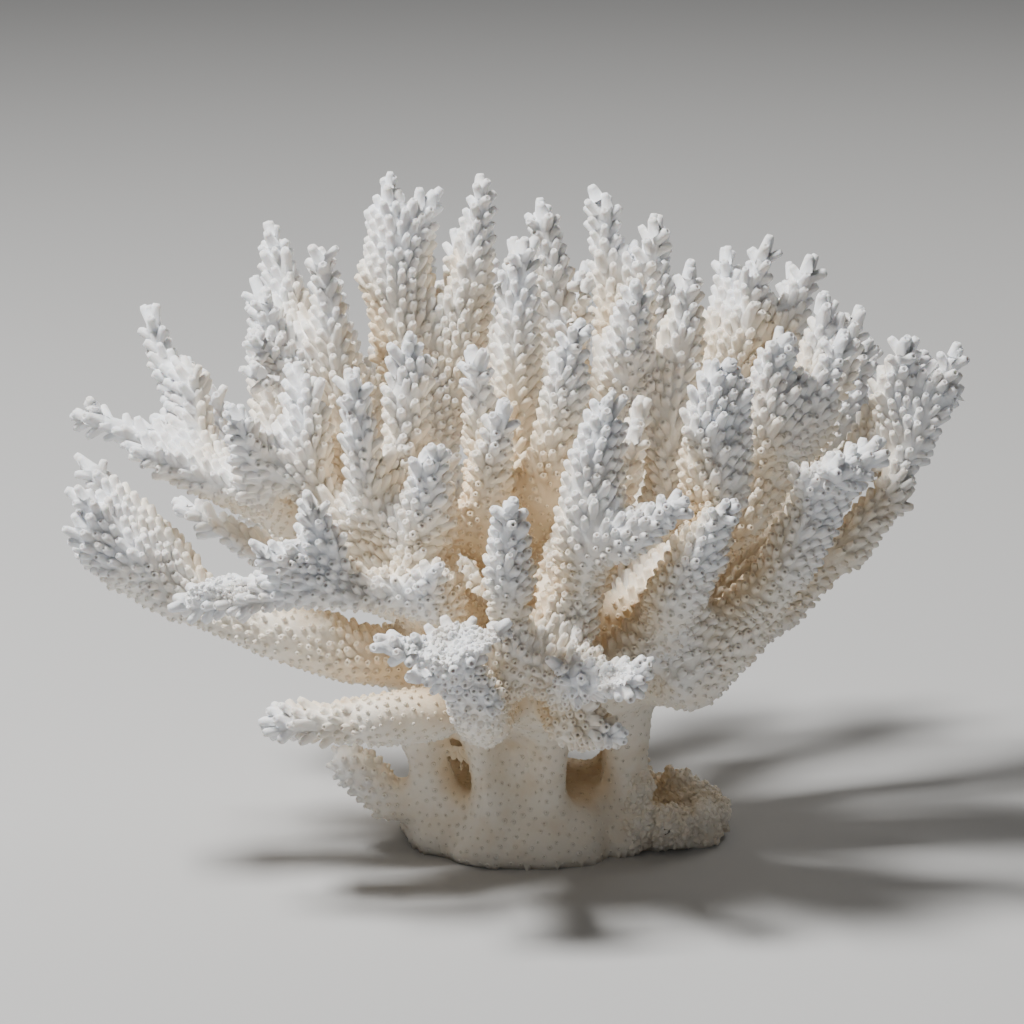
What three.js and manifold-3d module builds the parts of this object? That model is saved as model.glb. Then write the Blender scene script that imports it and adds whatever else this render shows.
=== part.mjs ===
// A dried, bleached colony of branching coral that stands on the flat cut of its foot.
//
// The colony grew as one skeleton: a foot spread over the rock, a ring of short stems, a hub where
// the stems fuse, and limbs that leave the hub sideways and carry upright fingers. It is parted
// here at those main forks, with a hairline gap at each.
//
// Frame: millimetres, +Z up, the viewer on the -Y side, the origin on the cut face of the foot
// below the middle of the crown.
import * as THREE from "three";
import { mergeVertices } from "three/addons/utils/BufferGeometryUtils.js";
import Module from "manifold-3d";

const wasm = await Module();
wasm.setup();

// The place from which the colony is measured.
const VIEW_DISTANCE = 1000;
const VIEW_TILT = THREE.MathUtils.degToRad(15);
const VIEW_HEIGHT = 84.5;

const WELD = 1e-4; // corners closer than this are one

// Growth.
const FORK_GAP = 0.35; // between limbs, at the forks and wherever two of them touch
const SAG = 0.06; // a finger leaves its limb outwards and bends up: sag of its middle, times its length

// Outlines of a finger, of a short one and of a thin one: share of the length, share of the girth.
// A finger is thickest a third of the way up.
const FINGER = { sides: 5, rings: [[0, 0.9], [0.36, 1.12], [0.88, 0.8]] };
const STUB = { sides: 5, rings: [[0, 1], [0.8, 0.95]] };
const TWIG = { sides: 4, rings: [[0, 1], [0.8, 0.88]] };
const STUB_LENGTH = 3.4; // a finger shorter than this many girths is a stub
const TWIG_GIRTH = 5.7; // a branch thinner than this is a twig
const LIMB_SIDES = 6;
const STEM_SIDES = 6;
const BLUNT = 0.8; // how far a limb's end stands out, times its girth there

// The foot, cut flat at z = 0. Its mounds start a little below, and the cut takes that off. Each
// outline runs from the bottom to the top: share of the half width, height.
const ROCK = -2;
const SKIRT = {
  x: 4,
  y: -1,
  wide: 35,
  deep: 31,
  sides: 12,
  outline: [[0, ROCK], [0.97, ROCK], [1, 2], [0.76, 15], [0, 21]],
};
// The crust is a dish: its rim stands above the hollow in its middle.
const CRUST = {
  x: 38,
  y: 0,
  wide: 19,
  deep: 19,
  sides: 8,
  outline: [[0, ROCK], [0.85, ROCK], [1, 10], [0.78, 11], [0.4, 6], [0, 6]],
};
// A stem's outline from the foot to the hub: share of the length, share of the girth.
const STEM = [[0, 1.35], [0.45, 1], [1, 1.1]];

const HUB_MIDDLE = 46;
const HUB = {
  x: 4,
  y: -2,
  wide: 39,
  deep: 34,
  sides: 10,
  outline: [[0, 29], [0.6, 32], [0.95, 40], [1, HUB_MIDDLE], [0.9, 55], [0, 60]],
};
const HUB_ROOT = 0.74; // where limbs root, as a share of the hub's half width
const HUB_CORE = 5; // and how far above or below its middle at most
const HUB_NEAREST = 0.9; // a root is no further out than this share of the way to the limb's first point

const SKELETON_COLOUR = 0xf0ebe0;

// A point seen so many millimetres right of and above the middle of the view, at a depth along +Y.
function seen(right, up, depth) {
  const sine = Math.sin(VIEW_TILT);
  const cosine = Math.cos(VIEW_TILT);
  const rise =
    (up * (1 + (depth * cosine) / VIEW_DISTANCE) - depth * sine) / (cosine + (up * sine) / VIEW_DISTANCE);
  const away = depth * cosine - rise * sine;
  return new THREE.Vector3(right * (1 + away / VIEW_DISTANCE), depth, VIEW_HEIGHT + rise);
}

// A point of the part's own frame, for what the front of the colony hides.
const at = (x, y, z) => new THREE.Vector3(x, y, z);

// A limb starts in the hub. A finger or twig starts on the branch that carries it, at a share of
// that branch's length. The path is what follows, and its last point is the tip.
const limb = (name, path, girths, twigs, end = "pointed") => ({ name, path, girths, twigs, end });
const finger = (along, girth, path, twigs = []) => ({ along, girths: [girth], path, twigs });

const LIMBS = [
  limb(
    "left_low_limb",
    [seen(-22, -51, -36), seen(-42, -52, -42), seen(-55, -53, -42), seen(-62, -53, -42)],
    [9, 8.5, 8, 6.5, 4],
    [
      finger(0.78, 4.6, [seen(-62, -44, -36)]),
      finger(0.62, 4.6, [seen(-52, -53, -54)]),
      finger(0.48, 5.5, [seen(-36, -51, -58)]),
      finger(0.86, 3.8, [seen(-64, -57, -50)]),
    ],
  ),
  limb(
    "left_mid_limb",
    [seen(-30, -37, -24), seen(-61, -29, -28), seen(-88, -20, -24), seen(-104, -11, -20)],
    [10, 9, 8, 7, 5.5],
    [
      finger(
        0.58,
        6.8,
        [seen(-85, -11.5, -22), seen(-99, 4, -21), seen(-111, 17.5, -20)],
        [finger(0.6, 4.2, [seen(-104, 4, -28)])],
      ),
      finger(0.74, 5.8, [seen(-100, -4, -30), seen(-112, 9, -32)]),
      finger(0.84, 6, [seen(-106, -8, -32), seen(-115, -2, -34)]),
      finger(0.95, 5.2, [seen(-114, -10, -26)]),
      finger(0.78, 5.2, [seen(-97, -2, -46)]),
      finger(0.3, 4.5, [seen(-46, -24, -36)]),
    ],
  ),
  limb(
    "front_left_bar",
    [seen(-24, -20, -46), seen(-42, -17, -54), seen(-62, -20, -58), seen(-83, -24, -54)],
    [8, 7.5, 7, 6.5, 6.5],
    [
      finger(0.7, 8.5, [seen(-63, -8, -68)], [finger(0.7, 4, [seen(-71, -4, -66)])]),
      finger(0.62, 6.5, [seen(-48, -4, -58), seen(-52, 6, -62)]),
      finger(0.3, 7.5, [seen(-22, -13, -66)]),
      finger(0.5, 4.6, [seen(-43, -25, -66)]),
      finger(0.9, 4.6, [seen(-82, -15, -58)]),
    ],
    "broken",
  ),
  limb(
    "left_high_limb",
    [seen(-30, -16, -4), seen(-53, -2, -8), seen(-78, 12, -6), seen(-97, 21, -3), seen(-110, 24, 0)],
    [9, 8.5, 8, 7.5, 7, 4],
    [
      finger(0.68, 6.5, [seen(-82, 30, 0), seen(-81, 41, 2)], [finger(0.5, 3.8, [seen(-77, 39, 0)])]),
      finger(0.66, 7.2, [seen(-86, 30, 8), seen(-92, 42, 12), seen(-87.5, 54, 10)]),
      finger(0.56, 6.5, [seen(-88, 14, -22), seen(-100, 16.5, -24)]),
      finger(0.48, 8.4, [seen(-67, 14, -28), seen(-69, 28, -42)]),
      finger(0.28, 5.8, [seen(-62, -13, 6), seen(-76, -4, 8), seen(-88, 7, 8)]),
      finger(0.84, 4.6, [seen(-107, 31, 0)]),
    ],
  ),
  limb(
    "left_back_limb",
    [seen(-28, -8, 8), seen(-44, 14, 8), seen(-54, 32, 8)],
    [9, 9, 9, 7],
    [
      finger(0.9, 7.5, [seen(-57, 56, 16), seen(-61, 75, 20)], [finger(0.55, 4, [seen(-67, 67, 18)])]),
      finger(0.93, 7, [seen(-58, 46, 3), seen(-68, 55, 3)], [finger(0.5, 4, [seen(-60, 60, 0)])]),
      finger(0.85, 5.6, [seen(-62, 40, -6), seen(-70, 48, -6)]),
      finger(0.75, 5.6, [seen(-63, 34, -12), seen(-72, 39.5, -12)]),
      finger(
        0.5,
        7,
        [seen(-47, 36, 0), seen(-48, 60, 4), seen(-42, 71, 4)],
        [finger(0.75, 4.6, [seen(-49, 68, 2)])],
      ),
    ],
  ),
  limb(
    "front_left_limb",
    [seen(-24, -22, -28), seen(-36, -10, -31), seen(-49, 0, -29)],
    [9, 8.5, 8, 7.5],
    [
      finger(0.92, 8.5, [seen(-54, 18, -26), seen(-51, 40, -24)], [finger(0.5, 5, [seen(-56, 36, -30)])]),
      finger(0.7, 6.8, [seen(-38, 18, -40), seen(-41, 39, -42)]),
      finger(0.56, 8.5, [seen(-27, 22, -26), seen(-26, 49, -24)], [finger(0.5, 4.8, [seen(-17, 42, -26)])]),
      finger(0.42, 9, [seen(-24, 2, -46), seen(-16, 18, -56)], [finger(0.55, 5, [seen(-27, 19, -52)])]),
    ],
  ),
  limb(
    "back_left_limb",
    [seen(-16, -4, 14), seen(-22, 22, 16)],
    [9, 9, 8.5],
    [
      finger(
        0.92,
        10,
        [seen(-30, 60, 14), seen(-31, 87, 16)],
        [finger(0.5, 6, [seen(-22, 72, 16), seen(-18, 83, 16)]), finger(0.35, 5.6, [seen(-40, 64, 12)])],
      ),
      finger(0.88, 6, [seen(-14, 52, 24), seen(-13, 76, 26)]),
      finger(0.7, 7.5, [seen(-9, 60, 10), seen(-7, 89, 14)]),
    ],
  ),
  limb(
    "centre_limb",
    [seen(-1, -12, -16), seen(1, 12, -14)],
    [9, 9, 7.5],
    [
      finger(0.92, 7.5, [seen(1, 40, -8), seen(3, 72, -8)], [finger(0.6, 4.2, [seen(-6, 60, -10)])]),
      finger(
        0.5,
        8,
        [seen(11, 10, -32), seen(15, 34, -36), seen(16.5, 53.5, -38)],
        [finger(0.6, 4.2, [seen(10, 44, -38)])],
      ),
      finger(0.62, 6.5, [seen(-9, 22, -34), seen(-9, 45, -40)]),
      finger(0.4, 7, [seen(-9, 0, -38), seen(-4, 18, -48), seen(-1, 33, -51)]),
    ],
  ),
  limb(
    "back_right_limb",
    [seen(14, -2, 14), seen(22, 22, 18)],
    [9, 9, 8],
    [
      finger(0.72, 7.5, [seen(11, 50, 10), seen(7, 82.5, 12)], [finger(0.62, 4.6, [seen(2, 78, 10)])]),
      finger(0.66, 5.5, [seen(17, 46, 0), seen(19, 70, 0)]),
      finger(0.96, 6.8, [seen(27, 62, 26), seen(17, 84, 28)], [finger(0.5, 5, [seen(25.5, 84, 26)])]),
      finger(0.9, 6.2, [seen(35, 50, 20), seen(36, 78.5, 22)]),
      finger(0.6, 8.5, [seen(27, 30, -8), seen(32.5, 62.5, -14)], [finger(0.6, 4.6, [seen(37, 56, -14)])]),
    ],
  ),
  limb(
    "right_back_limb",
    [seen(34, -8, 2), seen(51, 18, 4), seen(62, 30, 6)],
    [9, 9, 8, 7],
    [
      finger(0.45, 8, [seen(42, 36, -2), seen(44.5, 66, -2)], [finger(0.75, 4.6, [seen(48, 63, -2)])]),
      finger(0.75, 6.5, [seen(52, 48, 16), seen(55, 70, 18)]),
      finger(0.88, 6.5, [seen(59, 50, 8), seen(65, 71.5, 8)], [finger(0.5, 4.6, [seen(56, 62, 4)])]),
      finger(0.96, 6.2, [seen(71, 50, 14), seen(76, 67.5, 15)]),
    ],
  ),
  limb(
    "right_high_limb",
    [seen(44, -14, -16), seen(64, 8, -16), seen(78, 24, -10)],
    [9, 9, 8.5, 7],
    [
      finger(0.7, 8, [seen(66, 30, -22), seen(66, 50, -22)], [finger(0.5, 4.6, [seen(72, 44, -26)])]),
      finger(0.86, 6.5, [seen(80, 34, -20), seen(83, 47, -20)]),
      finger(0.9, 6, [seen(76, 44, -2), seen(79, 58, -2)]),
      finger(0.97, 6, [seen(85, 42, 0), seen(88, 54, 2)]),
      finger(0.8, 5, [seen(66, 44, -6), seen(65, 60, -4)]),
    ],
  ),
  limb(
    "right_far_limb",
    [seen(52, -18, 2), seen(80, 6, 0), seen(96, 24, -2)],
    [9, 9, 9, 7.5],
    [
      finger(0.93, 6.5, [seen(97, 36, -10), seen(99, 46.5, -12)]),
      finger(0.86, 5.3, [seen(90, 45, 8)]),
      finger(0.93, 5.3, [seen(100, 36, 6), seen(103.5, 44, 8)]),
      finger(0.97, 5.6, [seen(104, 36, -1), seen(110, 47, 1)]),
      finger(
        0.86,
        7,
        [seen(104, 20, -10), seen(108, 32, -12), seen(113.5, 44, -12)],
        [finger(0.5, 4.8, [seen(116, 29, -14)])],
      ),
    ],
  ),
  limb(
    "right_outer_limb",
    [seen(50, -34, -14), seen(70, -20, -14), seen(86, -6, -13), seen(99, 10, -10)],
    [8, 8, 8, 7, 4.5],
    [
      finger(0.5, 5, [seen(72, -29, -14)]),
      finger(0.7, 5, [seen(90, -15, -16)]),
      finger(0.85, 4.6, [seen(102, 2, -16)]),
    ],
  ),
  limb(
    "right_low_limb",
    [seen(40, -44, -30), seen(57, -28, -36), seen(69.5, -12, -42), seen(79, 6, -46)],
    [10, 10, 9.5, 8.5, 8],
    [
      finger(0.93, 6, [seen(70, 13, -50)]),
      finger(0.97, 6, [seen(88, 14, -46), seen(94, 18, -44)]),
      finger(0.97, 6.5, [seen(83, 14, -60)]),
      finger(0.25, 5, [seen(39, -42, -46)]),
    ],
    "broken",
  ),
  limb(
    "right_mid_limb",
    [seen(30, -36, -36), seen(44, -20, -42), seen(48, -10, -42)],
    [9, 9, 9, 8],
    [
      finger(
        0.95,
        10,
        [seen(51, 8, -46), seen(51, 24, -50), seen(53, 43, -54)],
        [finger(0.5, 5.4, [seen(62.5, 34, -56)]), finger(0.4, 5.4, [seen(43, 25, -58)])],
      ),
      finger(
        0.55,
        8,
        [seen(42, -18, -56), seen(49, -5, -62), seen(56.5, 6, -66)],
        [finger(0.8, 4.6, [seen(60, 3, -68)])],
      ),
    ],
  ),
  limb(
    "front_right_limb",
    [seen(10, -36, -38), seen(15, -24, -48)],
    [9, 9, 9],
    [
      finger(
        0.95,
        9.5,
        [seen(20, 0, -57), seen(23, 18, -61), seen(23, 33, -63)],
        [finger(0.28, 7, [seen(34, -4, -70), seen(47, 5.5, -76)])],
      ),
      finger(0.75, 6.5, [seen(28, 4, -42), seen(32, 26, -44)]),
      finger(0.5, 6, [seen(31, 14, -26), seen(32, 34, -26)]),
    ],
  ),
  limb(
    "front_limb",
    [seen(-2, -42, -44), seen(0, -30, -56)],
    [8.5, 8, 7.5],
    [finger(0.95, 7.5, [seen(-1, -14, -64), seen(0, 6, -74)], [finger(0.75, 4.2, [seen(-4, 2, -76)])])],
  ),
  limb(
    "front_stub",
    [seen(-8, -53, -52), seen(-11, -42, -70), seen(-14, -33, -80)],
    [9, 8, 7.5, 9.5],
    [
      finger(0.93, 6, [seen(-24, -32, -80), seen(-31, -33, -80)]),
      finger(0.93, 6, [seen(-3, -29, -80), seen(1, -31, -80)]),
      finger(0.6, 5.2, [seen(-28, -38, -76), seen(-39, -37.5, -78)]),
      finger(0.6, 4.6, [seen(6, -38, -78)]),
      finger(0.5, 4.6, [seen(3, -45, -74)]),
    ],
    "broken",
  ),
  limb(
    "front_low_limb",
    [seen(15, -53, -46), seen(27, -56, -60)],
    [8.5, 8, 6],
    [finger(0.7, 4.6, [seen(16, -57, -62)])],
  ),
  limb(
    "front_right_stub",
    [seen(14, -42, -54), seen(23, -40, -72), seen(32, -46, -78)],
    [9, 8.5, 9, 7.5],
    [
      finger(0.5, 5.4, [seen(8, -36, -70), seen(4, -34, -72)]),
      finger(0.75, 5, [seen(34, -37, -78)]),
      finger(0.75, 4.6, [seen(20, -36, -82)]),
    ],
    "broken",
  ),
  limb(
    "rear_left_limb",
    [at(-48, 30, 64), at(-74, 40, 84), at(-90, 45, 94)],
    [9, 8.5, 8, 6],
    [
      finger(0.95, 5.6, [at(-103, 50, 103)]),
      finger(0.82, 6, [at(-84, 57, 102), at(-86, 63, 113)]),
      finger(0.7, 6.5, [at(-76, 36, 100), at(-79, 36, 113)]),
      finger(0.55, 7, [at(-64, 48, 104), at(-66, 54, 138)]),
      finger(0.4, 7, [at(-48, 40, 104), at(-49, 44, 143)]),
    ],
  ),
  limb(
    "rear_mid_left_limb",
    [at(-24, 44, 62), at(-38, 66, 82), at(-45, 79, 98)],
    [9, 9, 8.5, 6.5],
    [
      finger(0.95, 5.8, [at(-50, 90, 116)]),
      finger(0.8, 6.5, [at(-34, 76, 104), at(-32, 86, 126)]),
      finger(0.68, 6.5, [at(-46, 68, 112), at(-50, 72, 136)]),
      finger(0.5, 7, [at(-28, 56, 112), at(-28, 60, 152)]),
      finger(0.3, 7, [at(-22, 38, 100), at(-24, 40, 154)]),
    ],
  ),
  limb(
    "rear_limb",
    [at(4, 48, 62), at(6, 70, 84)],
    [9, 9, 7],
    [
      finger(0.95, 6.5, [at(6, 84, 102), at(5, 91, 122)]),
      finger(0.75, 6.8, [at(-5, 68, 110), at(-8, 74, 142)]),
      finger(0.72, 6.8, [at(16, 70, 108), at(20, 78, 138)]),
      finger(0.45, 7, [at(2, 48, 106), at(1, 50, 150)]),
    ],
  ),
  limb(
    "rear_mid_right_limb",
    [at(31, 42, 62), at(45, 62, 82), at(52, 74, 98)],
    [9, 9, 8.5, 6.5],
    [
      finger(0.95, 5.8, [at(57, 87, 114)]),
      finger(0.8, 6.5, [at(41, 76, 106), at(40, 86, 130)]),
      finger(0.7, 6.5, [at(56, 64, 112), at(60, 68, 136)]),
      finger(0.5, 7, [at(36, 54, 112), at(38, 60, 152)]),
    ],
  ),
  limb(
    "rear_right_limb",
    [at(56, 24, 60), at(84, 37, 82), at(98, 43, 98)],
    [9, 9, 8.5, 6.5],
    [
      finger(0.95, 5.8, [at(109, 49, 116)]),
      finger(0.82, 6.5, [at(90, 54, 102), at(94, 60, 119)]),
      finger(0.72, 6.8, [at(86, 32, 106), at(91, 32, 126)]),
      finger(0.55, 7, [at(70, 42, 112), at(74, 48, 142)]),
    ],
  ),
];

// A closed mesh, its vertices merged and its poles cleared of flat faces, as a solid.
function solidOf(geometry) {
  const bare = geometry.clone();
  bare.deleteAttribute("normal");
  bare.deleteAttribute("uv");
  const merged = mergeVertices(bare, WELD);
  const corners = merged.index.array;
  const faces = [];
  for (let i = 0; i < corners.length; i += 3) {
    const [a, b, c] = corners.subarray(i, i + 3);
    if (a !== b && b !== c && c !== a) faces.push(a, b, c);
  }
  const mesh = new wasm.Mesh({
    numProp: 3,
    vertProperties: new Float32Array(merged.attributes.position.array),
    triVerts: new Uint32Array(faces),
  });
  return new wasm.Manifold(mesh);
}

function geometryOf(solid) {
  const mesh = solid.getMesh();
  const geometry = new THREE.BufferGeometry();
  geometry.setAttribute("position", new THREE.BufferAttribute(mesh.vertProperties, 3));
  geometry.setIndex(new THREE.BufferAttribute(mesh.triVerts, 1));
  geometry.computeVertexNormals();
  return geometry;
}

const join = (solids) => solids.reduce((all, next) => all.add(next));

// A profile turned round the curve as its axis: its heights are lengths along the curve, and each
// ring is turned half a side from the one before.
function turnedAlong(curve, profile, sides) {
  const length = curve.getLength();
  const geometry = new THREE.LatheGeometry(profile, sides);
  const position = geometry.attributes.position;
  const upright = new THREE.Vector3(0, 0, 1);
  const turn = new THREE.Quaternion();
  const offset = new THREE.Vector3();
  for (let i = 0; i < position.count; i++) {
    const ring = i % profile.length;
    const height = profile[ring].y;
    const share = THREE.MathUtils.clamp(height / length, 0, 1);
    const tangent = curve.getTangentAt(share);
    turn.setFromUnitVectors(upright, tangent);
    offset.set(position.getX(i), -position.getZ(i), 0);
    offset.applyAxisAngle(upright, ((ring % 2) * Math.PI) / sides).applyQuaternion(turn);
    offset.add(curve.getPointAt(share)).addScaledVector(tangent, height - share * length);
    position.setXYZ(i, offset.x, offset.y, offset.z);
  }
  return geometry;
}

// A finger or twig as a profile up its axis. Swell makes it that much larger all round.
function fingerProfile(rings, girth, length, swell) {
  const sides = rings.map(
    ([along, across], i) => new THREE.Vector2(girth * across + swell, length * along - (i ? 0 : swell)),
  );
  return [new THREE.Vector2(0, -swell), ...sides, new THREE.Vector2(0, length + swell)];
}

// A limb: smooth, with its girth given at each point of its path. A broken one ends square.
function limbProfile(girths, length, end, swell) {
  const profile = [new THREE.Vector2(0, -swell)];
  const last = girths.length - 1;
  girths.forEach((girth, i) => {
    const height = THREE.MathUtils.lerp(0, length, i / last);
    profile.push(new THREE.Vector2(girth + swell, height + (i ? 0 : -swell)));
  });
  if (end === "pointed") {
    profile.push(new THREE.Vector2(0, length + girths[last] * BLUNT + swell));
  } else {
    profile.push(new THREE.Vector2(0, length + swell));
  }
  return profile;
}

// A finger's path from where it leaves its branch, sagging a little in the middle.
function fingerCurve(root, path) {
  const tip = path[path.length - 1];
  const points = [root, ...path];
  if (path.length === 1) {
    const middle = root.clone().lerp(tip, 0.5);
    middle.z -= SAG * root.distanceTo(tip);
    points.splice(1, 0, middle);
  }
  return new THREE.CatmullRomCurve3(points);
}

function fingerOutline(girth, length) {
  if (girth < TWIG_GIRTH) return TWIG;
  return length < STUB_LENGTH * girth ? STUB : FINGER;
}

function fingerSolids(branch, carrier, swell) {
  const curve = fingerCurve(carrier.getPointAt(branch.along), branch.path);
  const [girth] = branch.girths;
  const length = curve.getLength();
  const { sides, rings } = fingerOutline(girth, length);
  const profile = fingerProfile(rings, girth, length, swell);
  return [
    solidOf(turnedAlong(curve, profile, sides)),
    ...branch.twigs.flatMap((twig) => fingerSolids(twig, curve, swell)),
  ];
}

// Where a limb roots: in the hub, on the line from its middle to the limb's first point.
function rootInHub(first) {
  const middle = at(HUB.x, HUB.y, HUB_MIDDLE);
  const offset = first.clone().sub(middle);
  const across = HUB_ROOT / Math.hypot(offset.x / HUB.wide, offset.y / HUB.deep);
  const upward = HUB_CORE / Math.abs(offset.z);
  return middle.addScaledVector(offset, Math.min(across, upward, HUB_NEAREST));
}

function limbSolid(branch, swell) {
  const curve = new THREE.CatmullRomCurve3([rootInHub(branch.path[0]), ...branch.path]);
  const profile = limbProfile(branch.girths, curve.getLength(), branch.end, swell);
  return join([
    solidOf(turnedAlong(curve, profile, LIMB_SIDES)),
    ...branch.twigs.flatMap((twig) => fingerSolids(twig, curve, swell)),
  ]);
}

// A mound of given half width and half depth, from its outline.
function mound({ x, y, wide, deep, sides, outline }, swell) {
  const profile = outline.map(([share, height], i) => {
    const outwards = share > 0 ? swell : 0;
    const upwards = i < outline.length / 2 ? -swell : swell;
    return new THREE.Vector2(share * wide + outwards, height + upwards);
  });
  const geometry = new THREE.LatheGeometry(profile, sides).rotateX(Math.PI / 2);
  return solidOf(geometry.scale(1, deep / wide, 1).translate(x, y, 0));
}

// A short stem from the foot to the hub, by its lower and upper ends.
function stem(low, high, girth, swell) {
  const curve = new THREE.LineCurve3(low, high);
  const length = curve.getLength();
  const sides = STEM.map(
    ([along, across], i) => new THREE.Vector2(girth * across + swell, length * along - (i ? 0 : swell)),
  );
  const profile = [new THREE.Vector2(0, -swell), ...sides, new THREE.Vector2(0, length + swell)];
  return solidOf(turnedAlong(curve, profile, STEM_SIDES));
}

// What the cut takes off, wider than the foot.
function belowFloor(swell) {
  const slab = 4 * SKIRT.wide;
  return solidOf(new THREE.BoxGeometry(slab, slab, slab).translate(0, 0, -slab / 2 - swell));
}

// The foot: a skirt spread over the rock, stems standing on it, a spur at its left, and at its
// right a crust that has grown into an upturned shell round a hollow.
function footSolid(swell) {
  const skirt = mound(SKIRT, swell);
  const crust = mound(CRUST, swell);
  const ear = stem(at(35, 5, 2), at(43.5, 8, 17), 5.5, swell);
  const stems = [
    stem(at(-14, -12, 4), at(-25, -16, 38), 8, swell),
    stem(at(-4, -21, 2), at(-7, -20, 38), 8.2, swell),
    stem(at(10, -20, 2), at(9, -20, 38), 7.4, swell),
    stem(at(27, -9, 2), at(29, -12, 40), 8.8, swell),
    stem(at(-14, 10, 2), at(-20, 12, 40), 9, swell),
    stem(at(3, 16, 2), at(3, 19, 40), 9.5, swell),
    stem(at(27, 10, 2), at(29, 11, 40), 8.5, swell),
  ];
  const spur = join(
    fingerSolids(
      finger(0, 6.6, [at(-34, -13, 16), at(-46, -11, 27)]),
      new THREE.LineCurve3(at(-18, -13, 6), at(-16, -13, 6)),
      swell,
    ),
  );
  const grown = join([skirt, crust, ear, ...stems, spur]);
  return grown.subtract(belowFloor(swell));
}

// The largest piece of a cut solid: what is left beside it is a sliver.
function largest(solid) {
  const pieces = solid.decompose();
  return pieces.reduce((most, piece) => (piece.volume() > most.volume() ? piece : most));
}

// The pieces in the order in which they are built: each leaves room for those before it.
const PIECES = [
  { name: "hub", solid: (swell) => mound(HUB, swell) },
  { name: "foot", solid: footSolid },
  ...LIMBS.map((branch) => ({ name: branch.name, solid: (swell) => limbSolid(branch, swell) })),
];

const material = new THREE.MeshStandardMaterial({ color: SKELETON_COLOUR, roughness: 0.85, metalness: 0 });
const colony = new THREE.Group();
let taken = null;
for (const { name, solid } of PIECES) {
  const free = taken ? largest(solid(0).subtract(taken)) : solid(0);
  const mesh = new THREE.Mesh(geometryOf(free), material.clone());
  mesh.name = name;
  colony.add(mesh);
  taken = taken ? taken.add(solid(FORK_GAP)) : solid(FORK_GAP);
}

export default colony;
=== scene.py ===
"""A bleached colony of branching coral, grown over its faceted core.

The frame gives the core: a foot, a hub, and limbs that carry upright fingers. A fused skin is grown
over it, the places of the cups are found on the skin from the tips down, and each part of the core
then gets one finished piece: its share of the skin with its own cups and grains.
"""

import heapq
import math

import bmesh
import bpy
import numpy as np
from bpy.props import FloatProperty, FloatVectorProperty, IntProperty, PointerProperty
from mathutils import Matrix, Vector, noise
from mathutils.bvhtree import BVHTree
from mathutils.kdtree import KDTree


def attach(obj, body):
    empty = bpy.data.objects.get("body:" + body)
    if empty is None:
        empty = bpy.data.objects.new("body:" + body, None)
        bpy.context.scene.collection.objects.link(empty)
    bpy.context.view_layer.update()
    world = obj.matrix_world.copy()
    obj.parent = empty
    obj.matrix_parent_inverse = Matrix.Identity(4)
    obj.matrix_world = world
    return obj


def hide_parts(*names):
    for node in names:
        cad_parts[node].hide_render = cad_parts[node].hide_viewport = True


bl_info = {
    "name": "Branching coral",
    "version": (1, 0, 0),
    "blender": (4, 5, 0),
    "location": "View3D > Sidebar > Coral",
    "description": "Grows a bleached colony of branching coral over its faceted core",
    "category": "Add Mesh",
}

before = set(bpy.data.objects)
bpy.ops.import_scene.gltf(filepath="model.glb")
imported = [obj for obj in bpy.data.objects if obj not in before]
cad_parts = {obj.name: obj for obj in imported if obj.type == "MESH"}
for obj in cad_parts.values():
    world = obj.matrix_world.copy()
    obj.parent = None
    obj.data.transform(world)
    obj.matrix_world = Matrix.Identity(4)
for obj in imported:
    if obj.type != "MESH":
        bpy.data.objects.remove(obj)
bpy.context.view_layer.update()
NODES = sorted(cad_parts)

MM = 0.001
BODY = "root"
SKIN = "whole_skin"
PLACES = "cup_places"
GRAINS = "grain_places"
MATERIAL = "bleached_skeleton"

# Rounds of smoothing over the skin.
LIGHTLY, EVENLY, SOFTLY, WIDELY = 2, 4, 8, 10


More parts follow.
